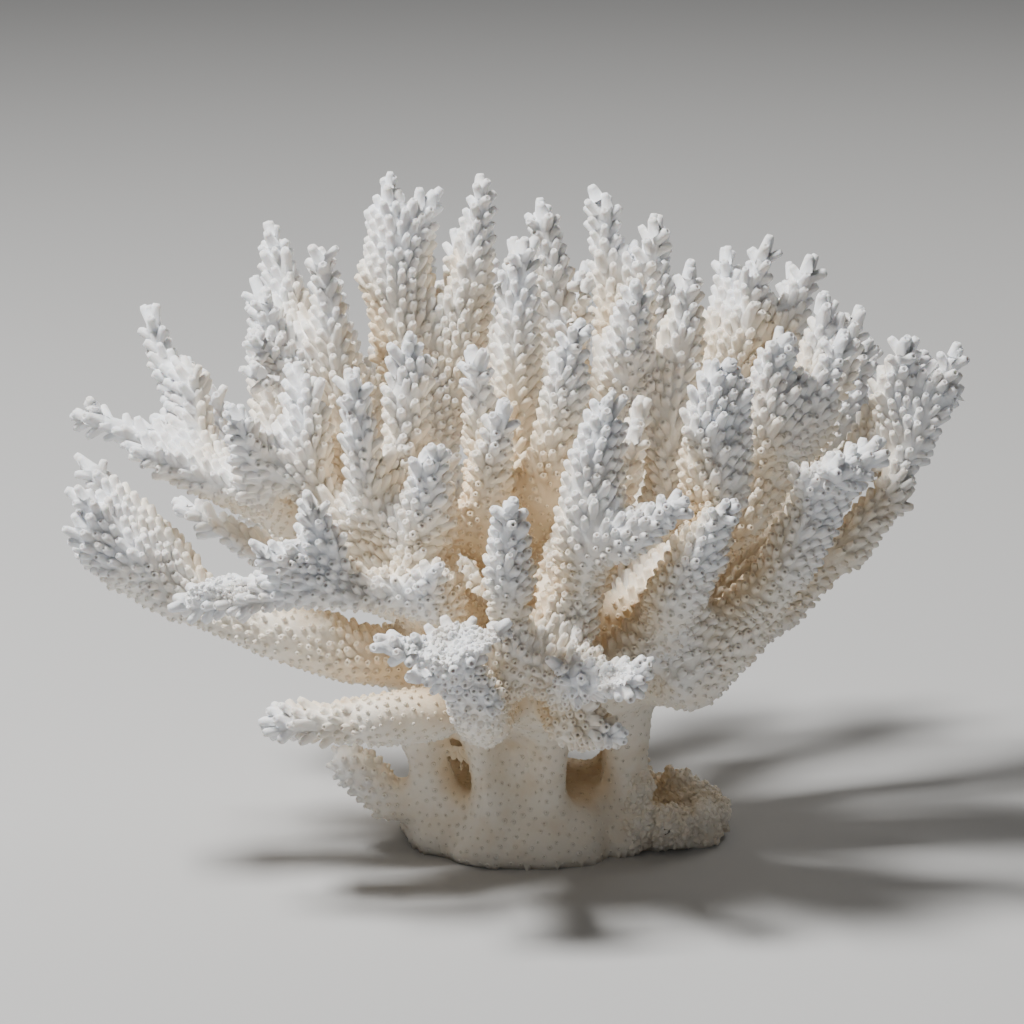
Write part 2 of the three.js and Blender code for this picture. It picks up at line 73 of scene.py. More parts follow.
class SkeletonSettings(bpy.types.PropertyGroup):
    """Sizes and colours of the skeleton."""

    grain: FloatProperty(
        name="Skin grain", description="Size of the faces of the fused skin",
        default=1.5 * MM, unit="LENGTH",
    )
    swell: FloatProperty(
        name="Swell", description="How far the core is swollen to close its forks",
        default=0.3 * MM, unit="LENGTH",
    )
    depth: FloatProperty(
        name="Depth",
        description="How far the skin of the fingers lies inside the core, to leave room for cups",
        default=2.3 * MM, unit="LENGTH",
    )
    taper: FloatProperty(
        name="Taper", description="How much thinner a finger gets in radius towards its tip",
        default=1.7 * MM, unit="LENGTH",
    )
    young: FloatProperty(
        name="Young", description="Way from a tip up to which cups are full size",
        default=42 * MM, unit="LENGTH",
    )
    old: FloatProperty(
        name="Old", description="Way from a tip beyond which only pores are left",
        default=72 * MM, unit="LENGTH",
    )
    bare: FloatProperty(
        name="Bare", description="Way up from the hub on which limbs are worn smooth",
        default=15 * MM, unit="LENGTH",
    )
    cup_girth: FloatProperty(
        name="Cup girth", description="Outside radius of a cup near a tip",
        default=1.12 * MM, unit="LENGTH",
    )
    cup_reach: FloatProperty(
        name="Cup reach", description="How far a cup near a tip stands out of the skin",
        default=3.0 * MM, unit="LENGTH",
    )
    cup_pitch: FloatProperty(
        name="Cup pitch", description="Least distance between neighbouring cups near a tip",
        default=2.15 * MM, unit="LENGTH",
    )
    pore_girth: FloatProperty(
        name="Pore girth", description="Outside radius of a worn cup on the foot",
        default=0.52 * MM, unit="LENGTH",
    )
    pore_reach: FloatProperty(
        name="Pore reach", description="How far a worn cup on the foot stands out",
        default=0.16 * MM, unit="LENGTH",
    )
    pore_pitch: FloatProperty(
        name="Pore pitch", description="Least distance between worn cups on the foot",
        default=1.9 * MM, unit="LENGTH",
    )
    cup_sides: IntProperty(
        name="Cup sides", description="Sides of a cup's tube",
        default=6, min=5, max=12,
    )
    seed: IntProperty(name="Seed", description="Seed of the cups' places and sizes", default=7)
    tip_colour: FloatVectorProperty(
        name="Tip colour", description="Youngest skeleton, at the tips",
        default=(0.89, 0.905, 0.93), subtype="COLOR", min=0, max=1,
    )
    body_colour: FloatVectorProperty(
        name="Body colour", description="Skeleton of the fingers",
        default=(0.89, 0.83, 0.73), subtype="COLOR", min=0, max=1,
    )
    # Painted warm glow and shade deep between the limbs, darker and warmer than old skeleton.
    deep_shade_colour: FloatVectorProperty(
        name="Deep colour", description="Oldest skeleton, deep between the limbs",
        default=(0.86, 0.71, 0.51), subtype="COLOR", min=0, max=1,
    )


class StageSettings(bpy.types.PropertyGroup):
    """The floor, the light and the camera."""

    distance: FloatProperty(
        name="Distance", description="From the camera to the middle of the crown",
        default=1.0, unit="LENGTH",
    )
    elevation: FloatProperty(
        name="Elevation", description="Height of the camera above the horizon",
        default=math.radians(15), unit="ROTATION",
    )
    aim_height: FloatProperty(
        name="Aim height", description="Height that the camera looks at",
        default=84.5 * MM, unit="LENGTH",
    )
    picture_width: FloatProperty(
        name="Picture width", description="What the picture spans at the crown",
        default=256 * MM, unit="LENGTH",
    )
    floor_colour: FloatVectorProperty(
        name="Floor colour", description="Pale plain floor",
        default=(0.46, 0.46, 0.46), subtype="COLOR", min=0, max=1,
    )


# Arithmetic on the corners of a mesh.


def unit(vectors):
    """The vectors, each one long."""
    return vectors / np.maximum(np.linalg.norm(vectors, axis=-1, keepdims=True), 1e-12)


def ramp(values, low, high):
    """0 below low, 1 above high, and smooth in between."""
    share = np.clip((values - low) / (high - low), 0, 1)
    return share * share * (3 - 2 * share)


def corners_of(mesh):
    places = np.empty(len(mesh.vertices) * 3, np.float32)
    mesh.vertices.foreach_get("co", places)
    return places.reshape(-1, 3).astype(float)


def triangles_of(mesh):
    mesh.calc_loop_triangles()
    faces = np.empty(len(mesh.loop_triangles) * 3, np.int32)
    mesh.loop_triangles.foreach_get("vertices", faces)
    return faces.reshape(-1, 3)


def links_of(faces):
    """The edges of triangles, each once."""
    pairs = np.sort(np.concatenate([faces[:, [0, 1]], faces[:, [1, 2]], faces[:, [2, 0]]]), axis=1)
    return np.unique(pairs, axis=0)


def corner_normals(corners, faces):
    """Outward normals at the corners, each face weighed by its area."""
    a, b, c = (corners[faces[:, i]] for i in range(3))
    face_normals = np.cross(b - a, c - a)
    total = np.zeros_like(corners)
    for i in range(3):
        for axis in range(3):
            total[:, axis] += np.bincount(faces[:, i], face_normals[:, axis], len(corners))
    return unit(total)


def neighbour_mean(values, links):
    """The mean of each corner's neighbours."""
    count = len(values)
    a, b = links[:, 0], links[:, 1]
    degree = np.maximum(np.bincount(a, minlength=count) + np.bincount(b, minlength=count), 1)
    columns = values.reshape(count, -1)
    mean = np.empty_like(columns)
    for i in range(columns.shape[1]):
        column = columns[:, i]
        mean[:, i] = (np.bincount(a, column[b], count) + np.bincount(b, column[a], count)) / degree
    return mean.reshape(values.shape)


def relaxed(values, links, rounds, strength=0.5):
    """The values, smoothed over the surface."""
    for _ in range(rounds):
        values = values + strength * (neighbour_mean(values, links) - values)
    return values


def walk_distance(corners, links, starts):
    """The way over the surface from the nearest start to each corner."""
    count = len(corners)
    lengths = np.linalg.norm(corners[links[:, 0]] - corners[links[:, 1]], axis=1)
    tails = np.concatenate([links[:, 0], links[:, 1]])
    order = np.argsort(tails, kind="stable")
    heads = np.concatenate([links[:, 1], links[:, 0]])[order].tolist()
    costs = np.concatenate([lengths, lengths])[order].tolist()
    first = np.searchsorted(tails[order], np.arange(count + 1)).tolist()
    best = [math.inf] * count
    queue = [(0.0, int(start)) for start in starts]
    for _, start in queue:
        best[start] = 0.0
    heapq.heapify(queue)
    while queue:
        gone, corner = heapq.heappop(queue)
        if gone > best[corner]:
            continue
        for i in range(first[corner], first[corner + 1]):
            reach = gone + costs[i]
            if reach < best[heads[i]]:
                best[heads[i]] = reach
                heapq.heappush(queue, (reach, heads[i]))
    return np.array(best)


def climb(values, corners, normals, links):
    """The direction along the surface in which the values rise, one long."""
    a, b = links[:, 0], links[:, 1]
    step = corners[b] - corners[a]
    slope = ((values[b] - values[a]) / np.maximum((step * step).sum(1), 1e-12))[:, None] * step
    total = np.zeros_like(corners)
    for axis in range(3):
        along = slope[:, axis]
        total[:, axis] = np.bincount(a, along, len(corners)) + np.bincount(b, along, len(corners))
    total -= normals * (total * normals).sum(1, keepdims=True)
    return unit(total)


# How far a seed moves the noise along each axis.
NOISE_STEPS = (17.3, 5.1, 11.7)


def rippled(corners, pitch, seed):
    """Smooth noise from about -1 to 1 with bumps of that pitch."""
    shift = Vector([seed * step for step in NOISE_STEPS])
    return np.array([noise.noise(Vector(corner) / pitch + shift) for corner in corners.tolist()])


def mesh_from(name, corners, faces):
    """A mesh of triangles from arrays, smooth shaded."""
    mesh = bpy.data.meshes.new(name)
    mesh.vertices.add(len(corners))
    mesh.vertices.foreach_set("co", np.asarray(corners, np.float32).ravel())
    mesh.loops.add(len(faces) * 3)
    mesh.loops.foreach_set("vertex_index", np.asarray(faces, np.int32).ravel())
    mesh.polygons.add(len(faces))
    mesh.polygons.foreach_set("loop_start", np.arange(0, len(faces) * 3, 3, dtype=np.int32))
    mesh.update(calc_edges=True)
    mesh.shade_smooth()
    return mesh


def finished(shape, name):
    """The mesh of a bmesh, which is freed."""
    mesh = bpy.data.meshes.new(name)
    shape.to_mesh(mesh)
    shape.free()
    return mesh


def arrays_of(shape):
    """The corners and triangles of a bmesh, which is freed."""
    mesh = finished(shape, "scratch")
    corners, faces = corners_of(mesh), triangles_of(mesh)
    bpy.data.meshes.remove(mesh)
    return corners, faces


def tree_of(places):
    """A tree that finds places by distance."""
    tree = KDTree(len(places))
    for i, place in enumerate(places.tolist()):
        tree.insert(place, i)
    tree.balance()
    return tree


def keep(mesh, name, values, domain="POINT"):
    """Stores values on a mesh under a name: whole numbers, numbers or vectors."""
    values = np.asarray(values)
    if values.ndim == 2:
        kind, field = "FLOAT_VECTOR", "vector"
    elif values.dtype.kind in "iu":
        kind, field = "INT", "value"
    else:
        kind, field = "FLOAT", "value"
    attribute = mesh.attributes.new(name, kind, domain)
    stored = values.astype(np.int32 if kind == "INT" else np.float32)
    attribute.data.foreach_set(field, stored.ravel())


def kept(mesh, name):
    """Reads values back from a mesh."""
    attribute = mesh.attributes[name]
    if attribute.data_type == "FLOAT_VECTOR":
        values = np.empty(len(attribute.data) * 3, np.float32)
        attribute.data.foreach_get("vector", values)
        return values.reshape(-1, 3).astype(float)
    values = np.empty(len(attribute.data), np.int32 if attribute.data_type == "INT" else np.float32)
    attribute.data.foreach_get("value", values)
    return values


# The fused skin.


# Corners this close are one, and corners below this height stand on the floor.
SAME = 1e-6
ON_FLOOR = 0.1 * MM
# How much slimmer the stems of the foot get, from this height on and over this much height.
STEM_SLIMMING = 0.9 * MM
SLIM_FROM, SLIM_OVER = 8 * MM, 8 * MM


def swollen_core(swell, depth):
    """Every part of the core in one mesh, each swollen a little so that the forks close.

    The stems of the foot are slimmed instead. The flat of the foot is let down by the depth, so
    that it comes to lie on the floor again.
    """
    whole = bmesh.new()
    for name in NODES:
        part = bmesh.new()
        part.from_mesh(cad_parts[name].data)
        bmesh.ops.remove_doubles(part, verts=part.verts, dist=SAME)
        part.normal_update()
        for corner in part.verts:
            on_floor = corner.co.z < ON_FLOOR
            if name == "foot":
                share = min(max(corner.co.z - SLIM_FROM, 0) / SLIM_OVER, 1)
                corner.co -= Vector((*corner.normal.xy, 0)) * (STEM_SLIMMING * share + swell)
            corner.co += corner.normal * swell
            if on_floor:
                corner.co.z = -depth
        mesh = finished(part, name + "_swollen")
        whole.from_mesh(mesh)
        bpy.data.meshes.remove(mesh)
    return finished(whole, "swollen_core")


def standing(name, data):
    """An object in the scene to hang modifiers on."""
    thing = bpy.data.objects.new(name, data)
    bpy.context.scene.collection.objects.link(thing)
    return thing


def drawn_in(core, grain, depth):
    """The corners and triangles of the surface that lies that deep inside the mesh."""
    solid = standing("fused", core)
    fuse = solid.modifiers.new("fuse", "REMESH")
    fuse.mode = "VOXEL"
    fuse.voxel_size = grain
    cloud = standing("filled", bpy.data.volumes.new("filled"))
    fill = cloud.modifiers.new("fill", "MESH_TO_VOLUME")
    fill.object = solid
    fill.resolution_mode = "VOXEL_SIZE"
    fill.voxel_size = grain
    fill.interior_band_width = 2 * depth
    fill.density = 1
    shell = standing("shell", bpy.data.meshes.new("shell"))
    peel = shell.modifiers.new("peel", "VOLUME_TO_MESH")
    peel.object = cloud
    peel.threshold = 0.5
    bpy.context.view_layer.update()
    whole = shell.evaluated_get(bpy.context.evaluated_depsgraph_get()).to_mesh()
    corners, faces = corners_of(whole), triangles_of(whole)
    for thing in (solid, cloud, shell):
        bpy.data.objects.remove(thing)
    bpy.data.volumes.remove(bpy.data.volumes["filled"])
    return corners, faces


def one_body(corners, faces):
    """What hangs together with the lowest corner, without the crumbs."""
    way = walk_distance(corners, links_of(faces), [int(np.argmin(corners[:, 2]))])
    whole = np.isfinite(way)
    number = np.cumsum(whole) - 1
    return corners[whole], number[faces[whole[faces].all(1)]]


# Looks out of the skin: how far off it they start, and how far they go at most.
LOOK_START, LOOK_END = 0.05 * MM, 100 * MM
# The looks that tell how closed in a corner is: how many, how many millimetres off the skin they
# start, how far they go, and how much they keep to the normal.
SIGHTS = 10
SIGHT_START, SIGHT_END = 0.3, 35 * MM
SIGHT_LEAN = 1.05


def room_along(corners, faces, aims):
    """How far it is from each corner to the skin that way."""
    tree = BVHTree.FromPolygons(corners.tolist(), faces.tolist())
    room = np.full(len(corners), LOOK_END)
    starts = (corners + LOOK_START * aims).tolist()
    for i, (start, aim) in enumerate(zip(starts, aims.tolist())):
        hit = tree.ray_cast(start, aim)
        if hit[3] is not None:
            room[i] = min(hit[3], room[i])
    return room


def closeness(corners, faces, normals):
    """How closed in each corner is: the share of the looks out of it that meet skin."""
    tree = BVHTree.FromPolygons(corners.tolist(), faces.tolist())
    turns = np.arange(SIGHTS) * math.pi * (3 - math.sqrt(5))
    heights = (np.arange(SIGHTS) + 0.5) / SIGHTS * 2 - 1
    across = np.sqrt(1 - heights**2)
    ball = np.stack([np.cos(turns) * across, np.sin(turns) * across, heights], axis=1)
    hits = np.zeros(len(corners))
    starts = (corners + normals * SIGHT_START * MM).tolist()
    for sight in ball:
        aims = unit(normals * SIGHT_LEAN + sight)
        for i, (start, aim) in enumerate(zip(starts, aims.tolist())):
            if tree.ray_cast(start, aim, SIGHT_END)[0] is not None:
                hits[i] += 1
    return hits / SIGHTS


def nearest_nodes(corners_at, faces_at, links):
    """The number of the core's part nearest to each face, with even borders."""
    nearest = nodes_at(corners_at[faces_at].mean(1))
    most = np.full(len(faces_at), -1.0)
    chosen = nearest.copy()
    for number in range(len(NODES)):
        held = np.zeros(len(corners_at))
        for i in range(3):
            held += np.bincount(faces_at[:, i], nearest == number, len(corners_at))
        share = relaxed(held, links, SOFTLY)[faces_at].sum(1)
        chosen[share > most] = number
        most = np.maximum(most, share)
    return chosen


def nodes_at(places):
    """The number of the core's part nearest to each place."""
    corners, faces, owner = [], [], []
    for number, name in enumerate(NODES):
        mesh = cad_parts[name].data
        base = len(corners)
        corners += corners_of(mesh).tolist()
        triangles = triangles_of(mesh)
        faces += (triangles + base).tolist()
        owner += [number] * len(triangles)
    tree = BVHTree.FromPolygons(corners, faces)
    return np.array([owner[tree.find_nearest(Vector(place))[2]] for place in places.tolist()])


def tips_of(values, corners, links, apart):
    """The corners where the values peak, no two closer than apart."""
    a, b = links[:, 0], links[:, 1]
    highest = np.full(len(values), -np.inf)
    np.maximum.at(highest, a, values[b])
    np.maximum.at(highest, b, values[a])
    peaks = np.flatnonzero(values >= highest)
    peaks = peaks[np.argsort(-values[peaks])]
    chosen = []
    for peak in peaks.tolist():
        if all(np.linalg.norm(corners[peak] - corners[other]) > apart for other in chosen):
            chosen.append(peak)
    return np.array(chosen)


# The limbs whose ends broke off square, and have no cup at their tip, with how far they flare.
BROKEN = {"front_left_bar": 1.5 * MM, "front_stub": 4.5 * MM, "front_right_stub": 1.5 * MM}
# Faces are one flat when they face alike and lie level, and a flat is big enough from here on.
ALIKE = 0.999
LEVEL = 0.05 * MM
BIG_FLAT = 60 * MM**2
HUB_MIDDLE = (0, 0, 45 * MM)


def broken_ends():
    """The name of each broken limb, with the middle, normal and radius of its flat end."""
    ends = []
    for name in BROKEN:
        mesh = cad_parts[name].data
        corners, faces = corners_of(mesh), triangles_of(mesh)
        a, b, c = (corners[faces[:, i]] for i in range(3))
        crossed = np.cross(b - a, c - a)
        area = np.linalg.norm(crossed, axis=1) / 2
        normals = unit(crossed)
        off = np.abs((normals[:, None, :] * (a[None, :, :] - a[:, None, :])).sum(2))
        same = (normals @ normals.T > ALIKE) & (off < LEVEL)
        total = same @ area
        far = np.linalg.norm((a + b + c) / 3 - HUB_MIDDLE, axis=1)
        best = int(np.argmax(np.minimum(total, BIG_FLAT) * far**3))
        flat = same[best]
        middle = np.average((a + b + c)[flat] / 3, axis=0, weights=area[flat])
        ends.append((name, middle, normals[best], math.sqrt(total[best] / math.pi)))
    return ends


# The floor is what lies below this share of the skin's grain. Tips are at least this far apart.
FLOOR_SHARE = 0.7
TIPS_APART = 4.5 * MM


class Skin:
    """The fused skin while it is shaped, with what is known at each of its corners.

    Floor tells what stands on the floor, tips are the corners at the tips, from_tip is the way
    from the nearest tip, rise points to the tips, and node is the core's part at each face.
    """

    def __init__(self, corners, faces, grain):
        self.faces, self.links = faces, links_of(faces)
        self.floor = corners[:, 2] < FLOOR_SHARE * grain
        self.corners = self.even(corners, SOFTLY)
        self.normals = corner_normals(self.corners, faces)
        growth = self.even(self.way(np.flatnonzero(self.floor)), EVENLY)
        self.tips = tips_of(growth, self.corners, self.links, TIPS_APART)
        self.from_tip = self.way(self.tips)
        rise = climb(growth, self.corners, self.normals, self.links)
        self.rise = unit(self.even(rise, WIDELY))
        self.node = nearest_nodes(self.corners, faces, self.links)

    def even(self, values, rounds):
        """The values, smoothed over the skin."""
        return relaxed(values, self.links, rounds)

    def way(self, starts):
        """The way over the skin from the nearest start to each corner."""
        return walk_distance(self.corners, self.links, starts)

    def room(self, aims):
        """How far the skin is from each corner that way, evened out."""
        return self.even(room_along(self.corners, self.faces, aims), LIGHTLY)

    def part(self, *names):
        """1 at the corners of the named parts of the core, 0 elsewhere."""
        inside = np.zeros(len(self.corners))
        inside[np.unique(self.faces[np.isin(self.node, [NODES.index(name) for name in names])])] = 1
        return inside


# How worn the skin is. The low parts end over these heights, and undersides begin as the normal
# turns down. They are worn this much, away from the tips by this way, and so are closed in parts.
LOW_PARTS_END = (44 * MM, 64 * MM)
UNDERSIDE = (0.1, 0.8)
UNDERSIDE_WEAR, UNDERSIDE_FROM_TIP = 0.9, (10 * MM, 30 * MM)
CLOSED_IN = (0.35, 0.65)
CLOSED_IN_WEAR, CLOSED_IN_FROM_TIP = 0.8, (14 * MM, 34 * MM)
BARE_SHARE = 0.25


def wear_of(skin, settings, buried, low):
    """How worn the skin is: 0 where it is young, and 1 where only pores are left."""
    from_trunk = skin.way(np.flatnonzero(skin.part("foot", "hub")))
    below = np.maximum(ramp(-skin.normals[:, 2], *UNDERSIDE), low)
    age = np.maximum.reduce([
        ramp(skin.from_tip, settings.young, settings.old),
        1 - ramp(from_trunk, BARE_SHARE * settings.bare, settings.bare),
        UNDERSIDE_WEAR * below * ramp(skin.from_tip, *UNDERSIDE_FROM_TIP),
        CLOSED_IN_WEAR * ramp(buried, *CLOSED_IN) * ramp(skin.from_tip, *CLOSED_IN_FROM_TIP),
    ])
    return skin.even(age, WIDELY)


# The limbs whose fingers stay thick up to their ends.
BLUNT = ("left_low_limb", "right_low_limb")
# A finger gets thinner over this way from its tip, by this share of its thickness at most. One
# that is thinner than this is filled back by this much.
TAPER_ENDS = (2 * MM, 20 * MM)
TAPER_SHARE = 0.2
THIN = (3 * MM, 8 * MM)
FILL_BACK = 1.0 * MM


def thin_to_tips(skin, settings, age):
    """Makes the fingers thinner towards their tips."""
    sideways = skin.normals - skin.rise * (skin.normals * skin.rise).sum(1, keepdims=True)
    room = skin.room(-unit(sideways))
    taper = settings.taper * (1 - skin.even(skin.part(*BLUNT), EVENLY))
    thinner = np.minimum(taper * (1 - ramp(skin.from_tip, *TAPER_ENDS)), TAPER_SHARE * room)
    thinner = thinner - FILL_BACK * (1 - ramp(room, *THIN)) * (1 - age)
    skin.corners = skin.corners - sideways * skin.even(thinner, EVENLY)[:, None]


# The foot without its spur begins over this stretch from left to right, where the spur at its
# left ends and the crust at its right begins. The skirt at its rim and the crust end upwards.
FOOT_BEGINS = (-34 * MM, -22 * MM)
SPUR_ENDS = (-36 * MM, -28 * MM)
CRUST_BEGINS = (24 * MM, 32 * MM)
SKIRT_ENDS_UP = (4 * MM, 12 * MM)
CRUST_ENDS_UP = (16 * MM, 26 * MM)


def foot_regions(skin, on_foot):
    """How much each corner belongs to the skirt, to the spur and to the crust, from 0 to 1."""
    across, height = skin.corners[:, 0], skin.corners[:, 2]
    whole = skin.even(on_foot, EVENLY)
    skirt = whole * (1 - ramp(height, *SKIRT_ENDS_UP))
    spur = skin.even(skin.part("foot"), EVENLY) * (1 - ramp(across, *SPUR_ENDS))
    crust = whole * ramp(across, *CRUST_BEGINS) * (1 - ramp(height, *CRUST_ENDS_UP))
    return skirt, spur, crust


# The lumps of the skin and of the regions of the foot: height in millimetres, and the pitch and
# seed of their noise. The spur and the crust are also swollen.
WAVES, WAVE_PITCH = 0.3, 8 * MM
RIPPLES, RIPPLE_PITCH = 0.15, 3 * MM
SKIRT_LUMPS, SKIRT_NOISE = 1.1, (5 * MM, 2)
FOOT_LUMPS, FOOT_NOISE = 0.5, (9 * MM, 8)
SPUR_SWELL, SPUR_LUMPS, SPUR_NOISE = 1.8, 0.9, (3.2 * MM, 9)
CRUST_SWELL, CRUST_LUMPS, CRUST_NOISE = 1.2, 2.8, (6 * MM, 3)
CRUST_CHIPS, CHIP_NOISE = 1.6, (2.6 * MM, 4)


def lumps_on(skin, seed, on_foot, regions):
    """How far the skin stands out in lumps everywhere, in millimetres."""
    skirt, spur, crust = regions
    corners = skin.corners
    lumps = WAVES * rippled(corners, WAVE_PITCH, seed)
    lumps += RIPPLES * rippled(corners, RIPPLE_PITCH, seed + 1)
    foot = FOOT_LUMPS * on_foot * rippled(corners, *FOOT_NOISE)
    lumps += skirt * SKIRT_LUMPS * rippled(corners, *SKIRT_NOISE) + foot
    lumps += spur * (SPUR_SWELL + SPUR_LUMPS * rippled(corners, *SPUR_NOISE))
    chips = CRUST_CHIPS * rippled(corners, *CHIP_NOISE)
    lumps += crust * (CRUST_SWELL + CRUST_LUMPS * rippled(corners, *CRUST_NOISE) + chips)
    return lumps


# Where cups are worn away the skin is filled up to the core by this share of its depth, and less
# so on the stems. It moves out by this share of the gap in front of it at most, and in by this
# share of what is solid behind it.
FILLED, FILLED_LESS = 0.9, 0.5
MOST_OUT, MOST_IN = 0.35, 0.3


def fill_and_ripple(skin, settings, age, on_foot, regions):
    """Fills the worn skin, gives it its lumps, and tells the gap and the solid everywhere."""
    lumps = lumps_on(skin, settings.seed, on_foot, regions)
    stems = skin.even(on_foot, WIDELY) - skin.even(regions[0], LIGHTLY)
    filled = settings.depth * age * (FILLED - FILLED_LESS * np.maximum(stems, 0))
    gap, solid = skin.room(skin.normals), skin.room(-skin.normals)
    moved = np.clip(filled + lumps * MM, -MOST_IN * solid, MOST_OUT * gap)
    skin.corners = skin.corners + skin.normals * moved[:, None]
    return gap, solid


# A broken end reaches this far below its flat and stops short of its rim. It is rough by noise of
# these pitches and seeds, set back by this much, in units of this many millimetres.
END_DEPTH, END_RIM = 1.5 * MM, 0.5 * MM
END_NOISES = ((3 * MM, 5), (1.5 * MM, 6))
END_BACK, END_ROUGHNESS = 0.7, 1.1
# It flares over this way below its flat, up to this many radii.
FLARE_ENDS, FLARE_MOST = (1 * MM, 10 * MM), 1.2
# Its side is broken too where it faces up and to the front, this far down and beside it.
FACING, FACING_LEAST = (0, -0.6, 0.3), 0.45
SIDE_DOWN, SIDE_OUT = 6 * MM, 1.5 * MM


def break_off(skin, depth):
    """Makes the broken ends flat, rough and flared, and tells where the skin is broken."""
    broken = np.zeros(len(skin.corners))
    for name, middle, outward, radius in broken_ends():
        corners, own = skin.corners, skin.part(name) > 0
        below = (middle - corners) @ outward
        spread = corners - middle + below[:, None] * outward
        beside = np.linalg.norm(spread, axis=1)
        close = own & (np.linalg.norm(corners - middle, axis=1) < 2 * radius)
        on_end = own & (np.abs(below) < depth + END_DEPTH) & (beside < radius - END_RIM)
        rough = sum(rippled(corners[on_end], *kind) for kind in END_NOISES) - END_BACK
        corners[on_end] += outward * (below[on_end] + END_ROUGHNESS * rough * MM)[:, None]
        flare = BROKEN[name] * (1 - ramp(below, *FLARE_ENDS))
        wide = flare * np.minimum(beside / radius, FLARE_MOST) * close
        corners += spread / np.maximum(beside, SAME)[:, None] * wide[:, None]
        facing = skin.normals @ unit(outward + FACING) > FACING_LEAST
        side = close & facing & (below < SIDE_DOWN) & (beside < radius + SIDE_OUT)
        broken[on_end | side] = 1
    return broken


# Recesses in the front of the foot, in millimetres: x and z of the middle, half width and height,
# and depth. The front is before this place, and no recess is deeper than this share of the solid.
RECESSES = (
    (-1.0, 28.0, 4.2, 7.0, 6.0),
    (24.0, 8.0, 2.6, 9.0, 4.0),
    (-27.0, 6.0, 2.5, 2.2, 4.0),
)
FRONT = -12 * MM
RECESS_SHARE = 0.5


def press_recesses(skin, solid):
    """Presses the recesses into the front of the foot."""
    corners = skin.corners
    for x, z, half_width, half_height, depth in RECESSES:
        across, up = (corners[:, 0] / MM - x) / half_width, (corners[:, 2] / MM - z) / half_height
        front = (corners[:, 1] < FRONT) & (skin.normals[:, 1] < 0)
        front = skin.even(front.astype(float), LIGHTLY)
        pressed = depth * MM * np.exp(-(across**2 + up**2)) * front
        corners[:, 1] += np.minimum(pressed, RECESS_SHARE * solid)


# The spur is less worn by this share. Warmth is painted warm glow and shade where the skin is
# closed in, over this stretch and by this share, and the cream of age by this share, which counts
# from the tip over this way. The low parts get painted shade by this share, which sets in over this
# way from the tip.
SPUR_UNWORN = 0.45
SHADED_CLOSED_IN, SHADE_FROM_CLOSED_IN, FROM_AGE = (0.05, 0.7), 0.75, 0.45
WARM_FROM_TIP = (3 * MM, 55 * MM)
LOW_SHADE, LOW_SHADE_FROM_TIP = 0.9, (0, 14 * MM)


class CORAL_OT_skin(bpy.types.Operator):
    """Grow one fused skin over the core, shape it, and tell how worn it is and how much tint and
    painted shade it gets everywhere
    """

    bl_idname = "coral.skin"
    bl_label = "Skin"

    def execute(self, context):
        settings = context.scene.coral_skeleton
        core = swollen_core(settings.swell, settings.depth)
        shell = one_body(*drawn_in(core, settings.grain, settings.depth))
        skin = Skin(*shell, settings.grain)
        # How closed in the skin is: it wears the cups down and sets where painted warm glow and
        # shade go.
        buried = skin.even(closeness(skin.corners, skin.faces, skin.normals), SOFTLY)
        low = 1 - ramp(skin.corners[:, 2], *LOW_PARTS_END)
        on_foot = skin.part("foot") * ramp(skin.corners[:, 0], *FOOT_BEGINS)
        age = wear_of(skin, settings, buried, low)

        thin_to_tips(skin, settings, age)
        skirt, spur, crust = foot_regions(skin, on_foot)
        gap, solid = fill_and_ripple(skin, settings, age, on_foot, (skirt, spur, crust))
        broken = break_off(skin, settings.depth)
        press_recesses(skin, solid)
        skin.corners[skin.floor, 2] = 0
        skin.corners[:, 2] = np.maximum(skin.corners[:, 2], 0)

        age = np.maximum(age, on_foot) * (1 - SPUR_UNWORN * spur)
        # Painted shade on the low parts, which lie in the crown's shadow, except right at the tips.
        low_shade = LOW_SHADE * low * ramp(skin.from_tip, *LOW_SHADE_FROM_TIP)
        age_and_low_shade = np.maximum.reduce([ramp(skin.from_tip, *WARM_FROM_TIP), age, low_shade])
        # Painted warm glow and shade where the skin is closed in, added to the tint of age.
        tint_and_shade = SHADE_FROM_CLOSED_IN * ramp(buried, *SHADED_CLOSED_IN) + FROM_AGE * age_and_low_shade
        mesh = mesh_from(SKIN, skin.corners, skin.faces)
        peak = np.isin(np.arange(len(skin.corners)), skin.tips).astype(np.int32)
        for name, values in (
            ("from_tip", skin.from_tip), ("age", age), ("rise", skin.rise), ("broken", broken),
            ("rough", np.maximum(broken, crust)), ("gap", gap), ("tint_and_shade", np.clip(tint_and_shade, 0, 1)),
            ("peak", peak),
        ):
            keep(mesh, name, values)
        keep(mesh, "node", skin.node, "FACE")
        return {"FINISHED"}


# The cups' places.


# How many random places there are on a square metre of skin.
SCATTER = 1.6e6


def scattered(corners, faces, rng):
    """Random places on the skin: their face and their shares of its three corners."""
    a, b, c = (corners[faces[:, i]] for i in range(3))
    area = np.linalg.norm(np.cross(b - a, c - a), axis=1) / 2
    count = int(area.sum() * SCATTER)
    face = rng.choice(len(faces), count, p=area / area.sum())
    first, second = np.sqrt(rng.random(count)), rng.random(count)
    return face, np.stack([1 - first, first * (1 - second), first * second], axis=1)


def loose(name, places):
    """A mesh of loose corners."""
    mesh = bpy.data.meshes.new(name)
    mesh.vertices.add(len(places))
    mesh.vertices.foreach_set("co", places.astype(np.float32).ravel())
    return mesh


def spread_out(places, normals, along, order, pitch, stretch):
    """The places kept when each, in order, clears the room around it."""
    tree = tree_of(places)
    free = np.ones(len(places), bool)
    chosen = []
    for i in order.tolist():
        if not free[i]:
            continue
        chosen.append(i)
        near = np.array([found[1] for found in tree.find_range(places[i], pitch[i] * stretch)])
        step = places[near] - places[i]
        run = step @ along[i]
        across = (step * step).sum(1) - run * run
        close = across + (run / stretch) ** 2 < pitch[i] ** 2
        same_side = normals[near] @ normals[i] > 0
        free[near[close & same_side]] = False
    return np.array(chosen)


